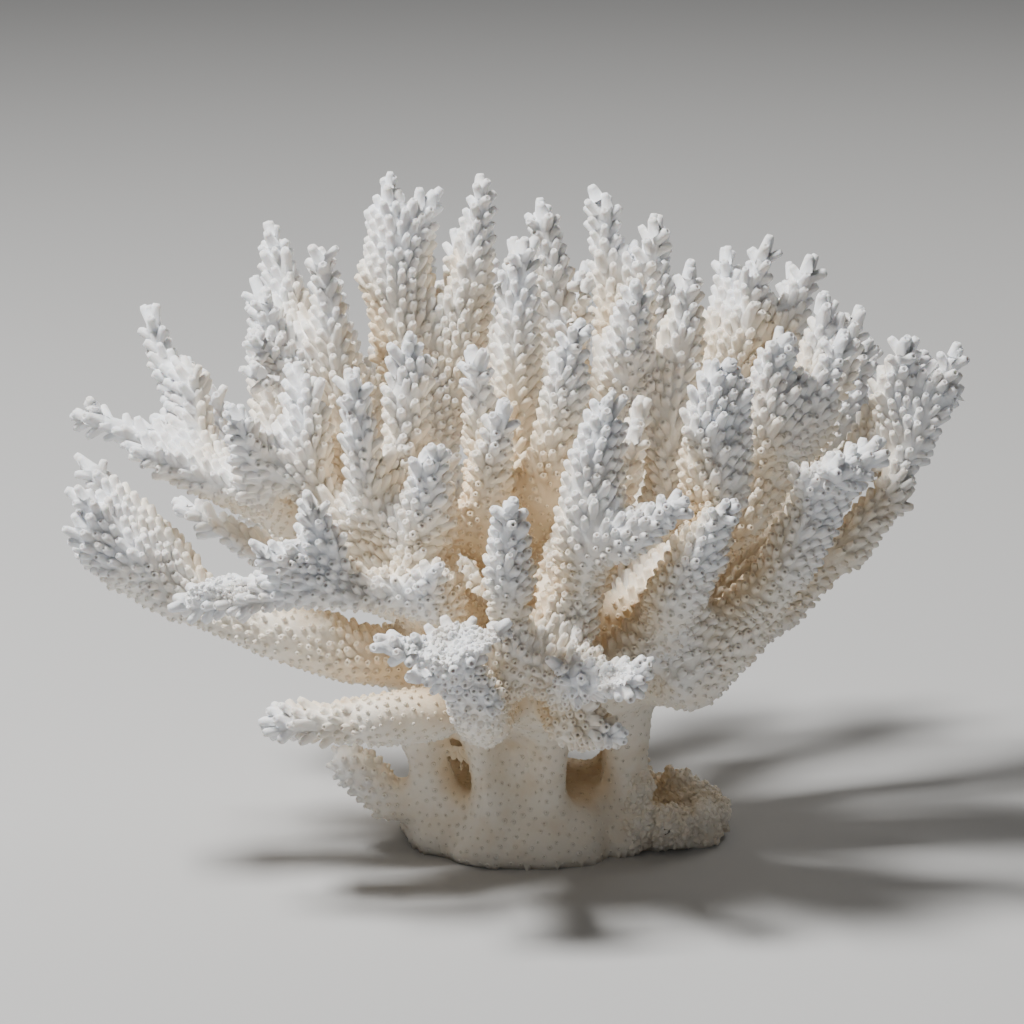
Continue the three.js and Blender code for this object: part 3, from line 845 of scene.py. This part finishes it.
# Cups are this share further apart at a tip, and this much further apart along a finger than
# across it. They keep off the floor, the very tip, broken skin and narrow gaps by these.
TIP_SPREAD, TIP_SPREAD_ENDS = 0.3, (3 * MM, 16 * MM)
STRETCH = 1.2
OFF_FLOOR, OFF_TIP, LEAST_GAP = 1.2 * MM, 1.1 * MM, 2.5 * MM
SHUFFLE = 0.2 * MM
# The axis of a tip comes from the skin within this reach.
TIP_REACH = 6 * MM
# Half way between two states.
HALF = 0.5
# The size of grains on broken ends and on the crust, how far they are apart for their size, and
# how far they keep off the floor.
END_GRAIN, CRUST_GRAIN = 0.8 * MM, 1.1 * MM
GRAINS_APART = 1.15
GRAINS_OFF_FLOOR = 1.5 * MM


class CORAL_OT_cup_places(bpy.types.Operator):
    """Find the places of the cups on the skin, crowded at the tips and sparser towards the foot"""

    bl_idname = "coral.cup_places"
    bl_label = "Places of the cups"

    def execute(self, context):
        settings = context.scene.coral_skeleton
        skin = bpy.data.meshes[SKIN]
        corners, faces = corners_of(skin), triangles_of(skin)
        rng = np.random.default_rng(settings.seed)
        face, shares = scattered(corners, faces, rng)

        def there(values):
            """Values at the corners of the skin, carried to the random places."""
            held = shares[:, :, None] if values.ndim == 2 else shares
            return (values[faces[face]] * held).sum(1)

        node, tint_and_shade, broken = kept(skin, "node"), kept(skin, "tint_and_shade"), kept(skin, "broken")
        places, out = there(corners), unit(there(corner_normals(corners, faces)))
        along = there(kept(skin, "rise"))
        along = unit(along - out * (along * out).sum(1, keepdims=True))
        way, age = there(kept(skin, "from_tip")), there(kept(skin, "age"))
        # The tint of age with the painted shade, carried to the random places.
        warm, cracked = there(tint_and_shade), there(broken)

        pitch = settings.cup_pitch + (settings.pore_pitch - settings.cup_pitch) * age
        pitch *= 1 + TIP_SPREAD * (1 - ramp(way, *TIP_SPREAD_ENDS)) * (1 - age)
        order = np.argsort(way + rng.normal(0, SHUFFLE, len(way)))
        fit = (places[:, 2] > OFF_FLOOR) & (way > OFF_TIP) & (cracked < HALF)
        fit &= there(kept(skin, "gap")) > LEAST_GAP
        chosen = spread_out(places, out, along, order[fit[order]], pitch, STRETCH)

        tips = np.flatnonzero(kept(skin, "peak"))
        tips = tips[(broken[tips] < HALF) & (kept(skin, "age")[tips] < HALF)]
        tree = tree_of(corners)
        axes = []
        for tip in tips.tolist():
            near = [found[1] for found in tree.find_range(corners[tip], TIP_REACH)]
            axes.append(corners[tip] - corners[near].mean(0))
        axes, none = unit(np.array(axes)), np.zeros(len(tips))
        tip_face = np.array([np.flatnonzero((faces == tip).any(1))[0] for tip in tips])

        mesh = loose(PLACES, np.concatenate([places[chosen], corners[tips]]))
        for name, values, at_tips in (
            ("out", out, axes), ("along", along, axes), ("from_tip", way, none), ("age", age, none),
            ("tint_and_shade", warm, tint_and_shade[tips]), ("node", node[face], node[tip_face]),
        ):
            keep(mesh, name, np.concatenate([values[chosen], at_tips]))

        size = np.where(cracked > HALF, END_GRAIN, CRUST_GRAIN)
        rugged = (there(kept(skin, "rough")) > HALF) & (places[:, 2] > GRAINS_OFF_FLOOR)
        grains = spread_out(places, out, along, np.flatnonzero(rugged), GRAINS_APART * size, 1.0)
        mesh = loose(GRAINS, places[grains])
        for name, values in (
            ("size", size), ("tint_and_shade", warm), ("broken", cracked), ("node", node[face]),
        ):
            keep(mesh, name, values[grains])
        return {"FINISHED"}


# The finished pieces.


# The rings of a cup from its root up: height, radius, and how far its normals lean out and up.
CUP_RINGS = (
    (0.0, 1.3, 1.0, 0.0),
    (0.8, 0.92, 0.94, 0.34),
    (1.0, 0.62, 0.45, 0.89),
    (0.97, 0.34, -0.5, 0.87),
)
# The height of the floor of the hole, how much of the hole's painted shade the last ring gets, and
# how exactly a height tells the ring.
CUP_DEPTH, INNER_HOLE_SHADE, SAME_HEIGHT = 0.5, 0.35, 1e-4


def cup_template(sides):
    """A cup one long and one in radius: a tube with a rounded lip and a hole, closed at its root.

    Gives its corners, their normals, its faces, and how much painted shade each corner gets in the
    hole.
    """
    cup = bmesh.new()
    bmesh.ops.create_circle(cup, cap_ends=True, segments=sides, radius=CUP_RINGS[0][1])
    rim = cup.edges[:]
    for height, radius, *_ in CUP_RINGS[1:]:
        grown = bmesh.ops.extrude_edge_only(cup, edges=rim)["geom"]
        ring = [part for part in grown if isinstance(part, bmesh.types.BMVert)]
        rim = [part for part in grown if isinstance(part, bmesh.types.BMEdge)]
        scale = radius / math.hypot(*ring[0].co.xy)
        for corner in ring:
            corner.co = (corner.co.x * scale, corner.co.y * scale, height)
    deep = bmesh.ops.extrude_edge_only(cup, edges=rim)["geom"]
    ring = [part for part in deep if isinstance(part, bmesh.types.BMVert)]
    bmesh.ops.pointmerge(cup, verts=ring, merge_co=(0, 0, CUP_DEPTH))
    bmesh.ops.triangulate(cup, faces=cup.faces)
    bmesh.ops.recalc_face_normals(cup, faces=cup.faces)
    corners, faces = arrays_of(cup)
    normals = np.zeros_like(corners)
    for height, _, outward, upward in CUP_RINGS:
        ring = np.isclose(corners[:, 2], height, atol=SAME_HEIGHT)
        normals[ring] = unit(corners[ring] * (1, 1, 0)) * outward + (0, 0, upward)
    bottom = np.isclose(corners[:, 2], CUP_DEPTH, atol=SAME_HEIGHT)
    normals[bottom] = (0, 0, 1)
    inner = np.isclose(corners[:, 2], CUP_RINGS[-1][0], atol=SAME_HEIGHT)
    return corners, unit(normals), faces, bottom + INNER_HOLE_SHADE * inner


# Below this sine a cup counts as straight, and below this slope another axis serves to turn it.
STRAIGHT, STEEP = 0.1, 0.9
# How much wider the root of a cup gets by its trail, how far the trail shifts it down the skin
# and lifts it, in girths, and how much of the skin's normal there is at the root.
TRAIL_WIDTH, TRAIL_SHIFT, TRAIL_LIFT = 0.5, 0.5, 0.6
ROOT_BLEND = 0.7


def planted(template, roots, out, axes, girths, reaches, trails, spins):
    """Copies of the cup, each grown obliquely from its root: corners, normals, faces, painted
    shade.

    The root ring lies in the skin, drawn out below the cup by its trail, and the rings above it
    stand square to the cup's axis.
    """
    corners, normals, faces, hole_shade = template
    count, size = len(roots), len(corners)
    spare = np.where(np.abs(out[:, [2]]) < STEEP, [[0.0, 0.0, 1.0]], [[1.0, 0.0, 0.0]])
    straight = np.linalg.norm(np.cross(out, axes), axis=1) < STRAIGHT
    side = unit(np.where(straight[:, None], np.cross(out, spare), np.cross(out, axes)))
    low, high = np.cross(out, side), np.cross(axes, side)
    cosine, sine = np.cos(spins)[:, None], np.sin(spins)[:, None]
    girth, trail = girths[:, None, None], trails[:, None, None]

    def turned(values):
        """The first two of three values, turned by the spins."""
        x, y = values[None, :, 0], values[None, :, 1]
        return (x * cosine - y * sine)[:, :, None], (x * sine + y * cosine)[:, :, None]

    lie = np.where(corners[:, 2] == 0, 1.0, 0.0)[None, :, None]
    first, second = turned(corners)
    placed = roots[:, None] + corners[None, :, 2, None] * (axes * reaches[:, None])[:, None]
    placed += first * girth * side[:, None]
    across = lie * (1 + TRAIL_WIDTH * trail) * low[:, None] + (1 - lie) * high[:, None]
    placed += second * girth * across
    placed += lie * TRAIL_SHIFT * trail * girth * (low - TRAIL_LIFT * out)[:, None]
    first, second = turned(normals)
    leaning = first * side[:, None] + second * high[:, None]
    leaning += normals[None, :, 2, None] * axes[:, None]
    leaning = (1 - ROOT_BLEND * lie) * leaning + lie * out[:, None]
    steps = np.arange(count)[:, None, None] * size
    faces = (faces[None] + steps).reshape(-1, 3)
    return placed.reshape(-1, 3), leaning.reshape(-1, 3), faces, np.tile(hole_shade, count)


# A grain is squashed along its axes and its corners are moved in and out between these shares.
GRAIN_SQUASH, GRAIN_EDGE = (0.55, 1.25), (0.8, 1.2)


def grit(rng, roots, sizes):
    """Angular grains around the roots, each turned and squashed in its own way."""
    grain = bmesh.new()
    bmesh.ops.create_icosphere(grain, subdivisions=1, radius=1)
    corners, faces = arrays_of(grain)
    count = len(roots)
    turns = np.linalg.qr(rng.normal(size=(count, 3, 3)))[0]
    turns[:, :, 0] *= np.sign(np.linalg.det(turns))[:, None]
    shaped = corners[None] * rng.uniform(*GRAIN_SQUASH, (count, 1, 3))
    shaped = shaped * rng.uniform(*GRAIN_EDGE, (count, len(corners), 1))
    placed = roots[:, None] + sizes[:, None, None] * np.einsum("nij,nkj->nki", turns, shaped)
    steps = np.arange(count)[:, None, None] * len(corners)
    return placed.reshape(-1, 3), (faces[None] + steps).reshape(-1, 3), len(corners)


def inside_out(corners, faces):
    """Whether the faces of a closed mesh point inwards."""
    a, b, c = (corners[faces[:, i]] for i in range(3))
    return (np.cross(a, b) * c).sum() < 0


# How far below the skin a patch is closed: its rim, and the middle of its closure.
RIM_DOWN, MIDDLE_DOWN = 1.2 * MM, 2.5 * MM


def closed_patch(corners, faces):
    """A patch of the skin with each open side closed towards a point inside."""
    used, local = np.unique(faces, return_inverse=True)
    patch = mesh_from("patch", corners[used], local.reshape(-1, 3))
    shape = bmesh.new()
    shape.from_mesh(patch)
    shape.normal_update()
    bpy.data.meshes.remove(patch)
    open_edges = {edge for edge in shape.edges if edge.is_boundary}
    while open_edges:
        loop, queue = set(), [open_edges.pop()]
        while queue:
            edge = queue.pop()
            loop.add(edge)
            for corner in edge.verts:
                for other in corner.link_edges:
                    if other in open_edges:
                        open_edges.discard(other)
                        queue.append(other)
        rim = {corner for edge in loop for corner in edge.verts}
        lowered = {corner.co.to_tuple(): corner.co - corner.normal * RIM_DOWN for corner in rim}
        inward = -sum((corner.normal for corner in rim), Vector()) / len(rim)
        middle = sum((corner.co for corner in rim), Vector()) / len(rim) + inward * MIDDLE_DOWN
        grown = bmesh.ops.extrude_edge_only(shape, edges=list(loop))["geom"]
        for corner in grown:
            if isinstance(corner, bmesh.types.BMVert):
                corner.co = lowered[corner.co.to_tuple()]
        edges = [part for part in grown if isinstance(part, bmesh.types.BMEdge)]
        grown = bmesh.ops.extrude_edge_only(shape, edges=edges)["geom"]
        ring = [part for part in grown if isinstance(part, bmesh.types.BMVert)]
        bmesh.ops.pointmerge(shape, verts=ring, merge_co=middle)
    bmesh.ops.triangulate(shape, faces=shape.faces)
    bmesh.ops.recalc_face_normals(shape, faces=shape.faces)
    found, triangles = arrays_of(shape)
    if inside_out(found, triangles):
        triangles = triangles[:, ::-1]
    return found, triangles, used


class Layer:
    """A layer of a piece: corners, normals, faces, which faces are flat, and fields by name."""

    def __init__(self, corners, normals, faces, flat, **fields):
        self.corners, self.normals, self.faces, self.flat = corners, normals, faces, flat
        self.fields = fields


# A cup leans out of the skin and up along it: at the side of a finger, and what a tip and wear
# add to it. A tip's crown ends over this way.
LEAN_OUT, LEAN_UP = (0.62, 0.2, 0.36), (0.78, -0.2, -0.58)
CROWN_ENDS = (3 * MM, 14 * MM)
# How much the girth varies and what wear adds to it, and between which shares the reach varies.
GIRTH_VARIES, WORN_VARIES, REACH_VARIES = 0.12, 0.3, (0.75, 1.2)
# This share of the cups within this way from a tip are long, by these.
LONG_CUPS, LONG_WITHIN, LONG_REACH, LONG_GIRTH = 0.05, (3 * MM, 26 * MM), 1.6, 1.15
# What a crown adds to the reach and to the girth.
CROWN_REACH, CROWN_GIRTH = 0.1, 0.16
# How far a cup is sunk, in millimetres, and what wear takes off. How dark the painted shade in its
# hole is, and what wear adds at most.
SUNK, WORN_SUNK = 0.7, 0.6
HOLE_SHADE, WORN_HOLE_SHADE = 0.45, 0.6


def cups_of(settings, number, rng):
    """The layer of cups on one part of the skeleton."""
    places = bpy.data.meshes[PLACES]
    here = kept(places, "node") == number
    out, along, way, age, tint_and_shade = (
        kept(places, name)[here] for name in ("out", "along", "from_tip", "age", "tint_and_shade")
    )
    roots = corners_of(places)[here]
    count = len(roots)
    crown = 1 - ramp(way, *CROWN_ENDS)
    outwards, upwards = (
        side + at_tip * crown + with_age * age for side, at_tip, with_age in (LEAN_OUT, LEAN_UP)
    )
    axes = unit(out * outwards[:, None] + along * upwards[:, None])
    size = 1 + rng.uniform(-1, 1, count) * (GIRTH_VARIES + WORN_VARIES * age)
    long = (rng.random(count) < LONG_CUPS) & (way > LONG_WITHIN[0]) & (way < LONG_WITHIN[1])
    reach = settings.cup_reach * (1 + CROWN_REACH * crown) * rng.uniform(*REACH_VARIES, count)
    reach = reach * np.where(long, LONG_REACH, 1)
    reach = reach + (settings.pore_reach - reach) * age
    girth = (settings.cup_girth + (settings.pore_girth - settings.cup_girth) * age) * size
    girth *= (1 + CROWN_GIRTH * crown) * np.where(long, LONG_GIRTH, 1)
    sunk = (SUNK - WORN_SUNK * age) * MM
    template = cup_template(settings.cup_sides)
    corners, normals, faces, hole_shade = planted(
        template, roots - out * sunk[:, None], out, axes, girth, reach + sunk,
        (1 - crown) * (1 - age), rng.uniform(0, math.tau, count),
    )
    corners[:, 2] = np.maximum(corners[:, 2], ON_FLOOR)
    each = len(template[0])
    # The holes get painted shade, darker at random on worn cups and pores.
    hole_shade *= np.repeat(HOLE_SHADE + WORN_HOLE_SHADE * age * rng.random(count), each)
    rooted = np.tile((template[0][template[2], 2] == 0).all(1), count)
    return Layer(corners, normals, faces, rooted, hole_shade=hole_shade, tint_and_shade=np.repeat(tint_and_shade, each))


def grains_of(number, rng):
    """The layer of grains on one part of the skeleton."""
    grains = bpy.data.meshes[GRAINS]
    mine = kept(grains, "node") == number
    corners, faces, each = grit(rng, corners_of(grains)[mine], kept(grains, "size")[mine])
    fields = {name: np.repeat(kept(grains, name)[mine], each) for name in ("tint_and_shade", "broken")}
    return Layer(corners, np.zeros_like(corners), faces, np.ones(len(faces), bool), **fields)


def skin_of(number):
    """The layer of skin on one part of the skeleton."""
    skin = bpy.data.meshes[SKIN]
    corners, faces = corners_of(skin), triangles_of(skin)
    normals = corner_normals(corners, faces)
    patch, patch_faces, used = closed_patch(corners, faces[kept(skin, "node") == number])
    added = len(patch) - len(used)
    tint_and_shade, broken = kept(skin, "tint_and_shade")[used], kept(skin, "broken")[used]
    return Layer(
        patch, np.concatenate([normals[used], np.zeros((added, 3))]), patch_faces,
        np.zeros(len(patch_faces), bool), broken=np.concatenate([broken, np.zeros(added)]),
        tint_and_shade=np.concatenate([tint_and_shade, np.full(added, tint_and_shade.mean())]),
    )


def joined(name, layers):
    """The layers in one mesh. What a layer doesn't hold is 0 on it."""
    corners = np.concatenate([layer.corners for layer in layers])
    starts = np.cumsum([0] + [len(layer.corners) for layer in layers])
    faces = np.concatenate([layer.faces + start for layer, start in zip(layers, starts)])
    mesh = mesh_from(name, corners, faces)
    for field in ("tint_and_shade", "hole_shade", "broken"):
        keep(mesh, field, np.concatenate([
            layer.fields.get(field, np.zeros(len(layer.corners))) for layer in layers
        ]))
    leaning = np.concatenate([layer.normals for layer in layers])[faces]
    flat = np.concatenate([layer.flat for layer in layers])
    a, b, c = (corners[faces[flat, i]] for i in range(3))
    leaning[flat] = unit(np.cross(b - a, c - a))[:, None]
    mesh.normals_split_custom_set(leaning.reshape(-1, 3).tolist())
    return mesh


def grown_piece(context, name):
    """One part of the skeleton: its share of the skin, with its cups and grains."""
    settings = context.scene.coral_skeleton
    number = NODES.index(name)
    rng = np.random.default_rng(settings.seed + number + 1)
    layers = (skin_of(number), cups_of(settings, number, rng), grains_of(number, rng))
    mesh = joined(name + "_skeleton", layers)
    mesh.materials.append(skeleton_material(settings))
    piece = bpy.data.objects.new(name + "_skeleton", mesh)
    context.scene.collection.objects.link(piece)
    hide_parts(name)
    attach(piece, BODY)


# The material.


# The shader of dry skeleton, which lets a little light in.
DRY_SKELETON = {
    "Roughness": 0.75,
    "Subsurface Weight": 0.15,
    "Subsurface Radius": (1.0, 0.65, 0.4),
    "Subsurface Scale": 1.0 * MM,
}
# How warm the skin is where it has the colour of tips, of the body, and of the painted warm glow
# and shade deep between the limbs.
TIP_AT, BODY_AT, DEEP_SHADE_AT = 0.08, 0.45, 1
# The colour of broken skeleton, and the painted shade in the cups' holes.
BROKEN_COLOUR, HOLE_SHADE_COLOUR = (0.93, 0.93, 0.93), (0.40, 0.33, 0.25)
BLOTCH_COLOUR = (0.88, 0.80, 0.70)
# Noises per metre for blotches and for the fine grain, and where blotches set in.
BLOTCHES = {"Scale": 160, "Detail": 6}
BLOTCH_EDGES = {"From Min": 0.45, "From Max": 0.75, "To Max": 0.7}
FINE_GRAIN, FINE_BUMP = {"Scale": 1800, "Detail": 3}, {"Strength": 0.5, "Distance": 0.2 * MM}


def fed(material, kind, values):
    """A new node of a material, with values set on its sockets."""
    node = material.node_tree.nodes.new(kind)
    for socket, value in values.items():
        node.inputs[socket].default_value = value
    return node


def mixed(material, factor, colour, shade, blend="MIX"):
    """A colour with a shade mixed in by a factor."""
    mix = material.node_tree.nodes.new("ShaderNodeMix")
    mix.data_type = "RGBA"
    mix.blend_type = blend
    mix.inputs["B"].default_value = (*shade, 1)
    material.node_tree.links.new(factor, mix.inputs["Factor"])
    material.node_tree.links.new(colour, mix.inputs["A"])
    return mix.outputs["Result"]


def skeleton_material(settings):
    """Dry bleached skeleton: bluish white at the tips and cream below, with painted warm glow and
    shade deep between the limbs, painted shade in the cups' holes, blotches and grain.
    """
    found = bpy.data.materials.get(MATERIAL)
    if found:
        return found
    material = bpy.data.materials.new(MATERIAL)
    material.use_nodes = True
    join = material.node_tree.links.new
    shader = material.node_tree.nodes["Principled BSDF"]
    for socket, value in DRY_SKELETON.items():
        shader.inputs[socket].default_value = value
    # The tone runs from the tips' colour through the cream of age to painted warm glow and shade
    # deep between the limbs.
    tone = material.node_tree.nodes.new("ShaderNodeValToRGB")
    stops = tone.color_ramp.elements
    stops[0].color = (*settings.tip_colour, 1)
    stops[0].position = TIP_AT
    stops[1].color = (*settings.deep_shade_colour, 1)
    stops[1].position = DEEP_SHADE_AT
    middle = stops.new(BODY_AT)
    middle.color = (*settings.body_colour, 1)
    join(stored(material, "tint_and_shade"), tone.inputs["Fac"])
    colour = mixed(material, stored(material, "broken"), tone.outputs["Color"], BROKEN_COLOUR)
    # Painted shade in the cups' holes.
    colour = mixed(material, stored(material, "hole_shade"), colour, HOLE_SHADE_COLOUR)
    places = material.node_tree.nodes.new("ShaderNodeTexCoord").outputs["Object"]
    blotches = fed(material, "ShaderNodeTexNoise", BLOTCHES)
    join(places, blotches.inputs["Vector"])
    spread = fed(material, "ShaderNodeMapRange", BLOTCH_EDGES)
    join(blotches.outputs["Fac"], spread.inputs["Value"])
    colour = mixed(material, spread.outputs["Result"], colour, BLOTCH_COLOUR, "MULTIPLY")
    join(colour, shader.inputs["Base Color"])
    grain = fed(material, "ShaderNodeTexNoise", FINE_GRAIN)
    join(places, grain.inputs["Vector"])
    bump = fed(material, "ShaderNodeBump", FINE_BUMP)
    join(grain.outputs["Fac"], bump.inputs["Height"])
    join(bump.outputs["Normal"], shader.inputs["Normal"])
    return material


def stored(material, name):
    """What a mesh holds under that name, in a material."""
    found = material.node_tree.nodes.new("ShaderNodeAttribute")
    found.attribute_name = name
    return found.outputs["Fac"]


class CORAL_OT_foot(bpy.types.Operator):
    """Finish the foot, cut flat where it left the rock"""

    bl_idname = "coral.foot"
    bl_label = "Foot"

    def execute(self, context):
        grown_piece(context, "foot")
        return {"FINISHED"}


class CORAL_OT_hub(bpy.types.Operator):
    """Finish the hub, where the stems have fused and the limbs part"""

    bl_idname = "coral.hub"
    bl_label = "Hub"

    def execute(self, context):
        grown_piece(context, "hub")
        return {"FINISHED"}


class CORAL_OT_limbs(bpy.types.Operator):
    """Finish the limbs with their fingers and cups"""

    bl_idname = "coral.limbs"
    bl_label = "Limbs"

    def execute(self, context):
        for name in NODES:
            if name not in ("foot", "hub"):
                grown_piece(context, name)
        return {"FINISHED"}


# The stage.


def plain_material(name, colour):
    material = bpy.data.materials.new(name)
    material.use_nodes = True
    shader = material.node_tree.nodes["Principled BSDF"]
    shader.inputs["Base Color"].default_value = (*colour, 1)
    shader.inputs["Roughness"].default_value = 0.9
    return material


def soft_light(name, place, aim, width, watts, colour):
    """A square light at a place, turned to what it lights."""
    light = bpy.data.lights.new(name, "AREA")
    light.shape = "SQUARE"
    light.size = width
    light.energy = watts
    light.color = colour
    holder = bpy.data.objects.new(name, light)
    holder.location = place
    holder.rotation_euler = (aim - Vector(place)).to_track_quat("-Z", "Y").to_euler()
    holder.visible_camera = False
    bpy.context.scene.collection.objects.link(holder)


# The floor is flat up to this radius, and then bends up by this radius and this angle.
FLOOR_FLAT, FLOOR_BEND, BEND_ANGLE = 2.2, 0.8, math.radians(85)
BEND_STEPS, TURN_STEPS = 10, 48
SAME_ON_FLOOR = 1e-5
# Each light: place, width, watts and colour.
LIGHTS = {
    "key_light": ((-0.6, -0.1, 1.3), 0.3, 41, (1.0, 0.99, 0.97)),
    "fill_light": ((-0.4, -1.5, 1.1), 0.8, 1.2, (0.96, 0.98, 1.0)),
    "back_light": ((0.6, 0.9, 1.0), 0.6, 4, (1.0, 0.97, 0.92)),
}
ROOM_COLOUR, ROOM_STRENGTH = (0.92, 0.93, 0.95, 1), 0.06
SENSOR_WIDTH = 36
CLIP_START, CLIP_END = 0.05, 20


class CORAL_OT_stage(bpy.types.Operator):
    """Lay the floor, light it softly and set the camera at the photograph's angle"""

    bl_idname = "coral.stage"
    bl_label = "Stage"

    def execute(self, context):
        stage = context.scene.coral_stage
        dish = bmesh.new()
        middle, edge = dish.verts.new((0, 0, 0)), dish.verts.new((FLOOR_FLAT, 0, 0))
        dish.edges.new((middle, edge))
        bmesh.ops.spin(
            dish, geom=[edge], cent=(FLOOR_FLAT, 0, FLOOR_BEND), axis=(0, -1, 0), dvec=(0, 0, 0),
            angle=BEND_ANGLE, steps=BEND_STEPS, use_merge=False,
        )
        bmesh.ops.spin(
            dish, geom=dish.verts[:] + dish.edges[:], cent=(0, 0, 0), axis=(0, 0, 1),
            dvec=(0, 0, 0), angle=math.tau, steps=TURN_STEPS, use_merge=True,
        )
        bmesh.ops.remove_doubles(dish, verts=dish.verts, dist=SAME_ON_FLOOR)
        bmesh.ops.recalc_face_normals(dish, faces=dish.faces)
        bmesh.ops.reverse_faces(dish, faces=dish.faces)
        mesh = finished(dish, "floor")
        mesh.shade_smooth()
        mesh.materials.append(plain_material("pale_floor", stage.floor_colour))
        floor = bpy.data.objects.new("floor", mesh)
        context.scene.collection.objects.link(floor)

        aim = Vector((0, 0, stage.aim_height))
        for name, (place, width, watts, colour) in LIGHTS.items():
            soft_light(name, place, aim, width, watts, colour)
        world = bpy.data.worlds.new("soft_room")
        world.use_nodes = True
        world.node_tree.nodes["Background"].inputs["Color"].default_value = ROOM_COLOUR
        world.node_tree.nodes["Background"].inputs["Strength"].default_value = ROOM_STRENGTH
        context.scene.world = world

        camera = bpy.data.cameras.new("camera")
        camera.sensor_width = SENSOR_WIDTH
        camera.lens = camera.sensor_width * stage.distance / stage.picture_width
        camera.clip_start, camera.clip_end = CLIP_START, CLIP_END
        holder = bpy.data.objects.new("camera", camera)
        back = Vector((0, -math.cos(stage.elevation), math.sin(stage.elevation)))
        holder.location = aim + back * stage.distance
        holder.rotation_euler = (-back).to_track_quat("-Z", "Y").to_euler()
        context.scene.collection.objects.link(holder)
        context.scene.camera = holder
        return {"FINISHED"}


class CORAL_PT_panel(bpy.types.Panel):
    """Lists the steps that grow the coral"""

    bl_idname = "CORAL_PT_panel"
    bl_label = "Branching coral"
    bl_space_type = "VIEW_3D"
    bl_region_type = "UI"
    bl_category = "Coral"

    def draw(self, context):
        for step in STEPS:
            self.layout.operator(step.bl_idname)
        for settings in (context.scene.coral_skeleton, context.scene.coral_stage):
            box = self.layout.box()
            for name in settings.bl_rna.properties.keys():
                if name not in ("rna_type", "name"):
                    box.prop(settings, name)


STEPS = (
    CORAL_OT_skin,
    CORAL_OT_cup_places,
    CORAL_OT_foot,
    CORAL_OT_hub,
    CORAL_OT_limbs,
    CORAL_OT_stage,
)
CLASSES = (SkeletonSettings, StageSettings, *STEPS, CORAL_PT_panel)


def register():
    for part in CLASSES:
        bpy.utils.register_class(part)
    bpy.types.Scene.coral_skeleton = PointerProperty(type=SkeletonSettings)
    bpy.types.Scene.coral_stage = PointerProperty(type=StageSettings)


def unregister():
    del bpy.types.Scene.coral_stage
    del bpy.types.Scene.coral_skeleton
    for part in reversed(CLASSES):
        bpy.utils.unregister_class(part)


def main():
    register()
    bpy.ops.coral.skin()
    bpy.ops.coral.cup_places()
    bpy.ops.coral.foot()
    bpy.ops.coral.hub()
    bpy.ops.coral.limbs()
    bpy.ops.coral.stage()


if __name__ == "__main__":
    main()
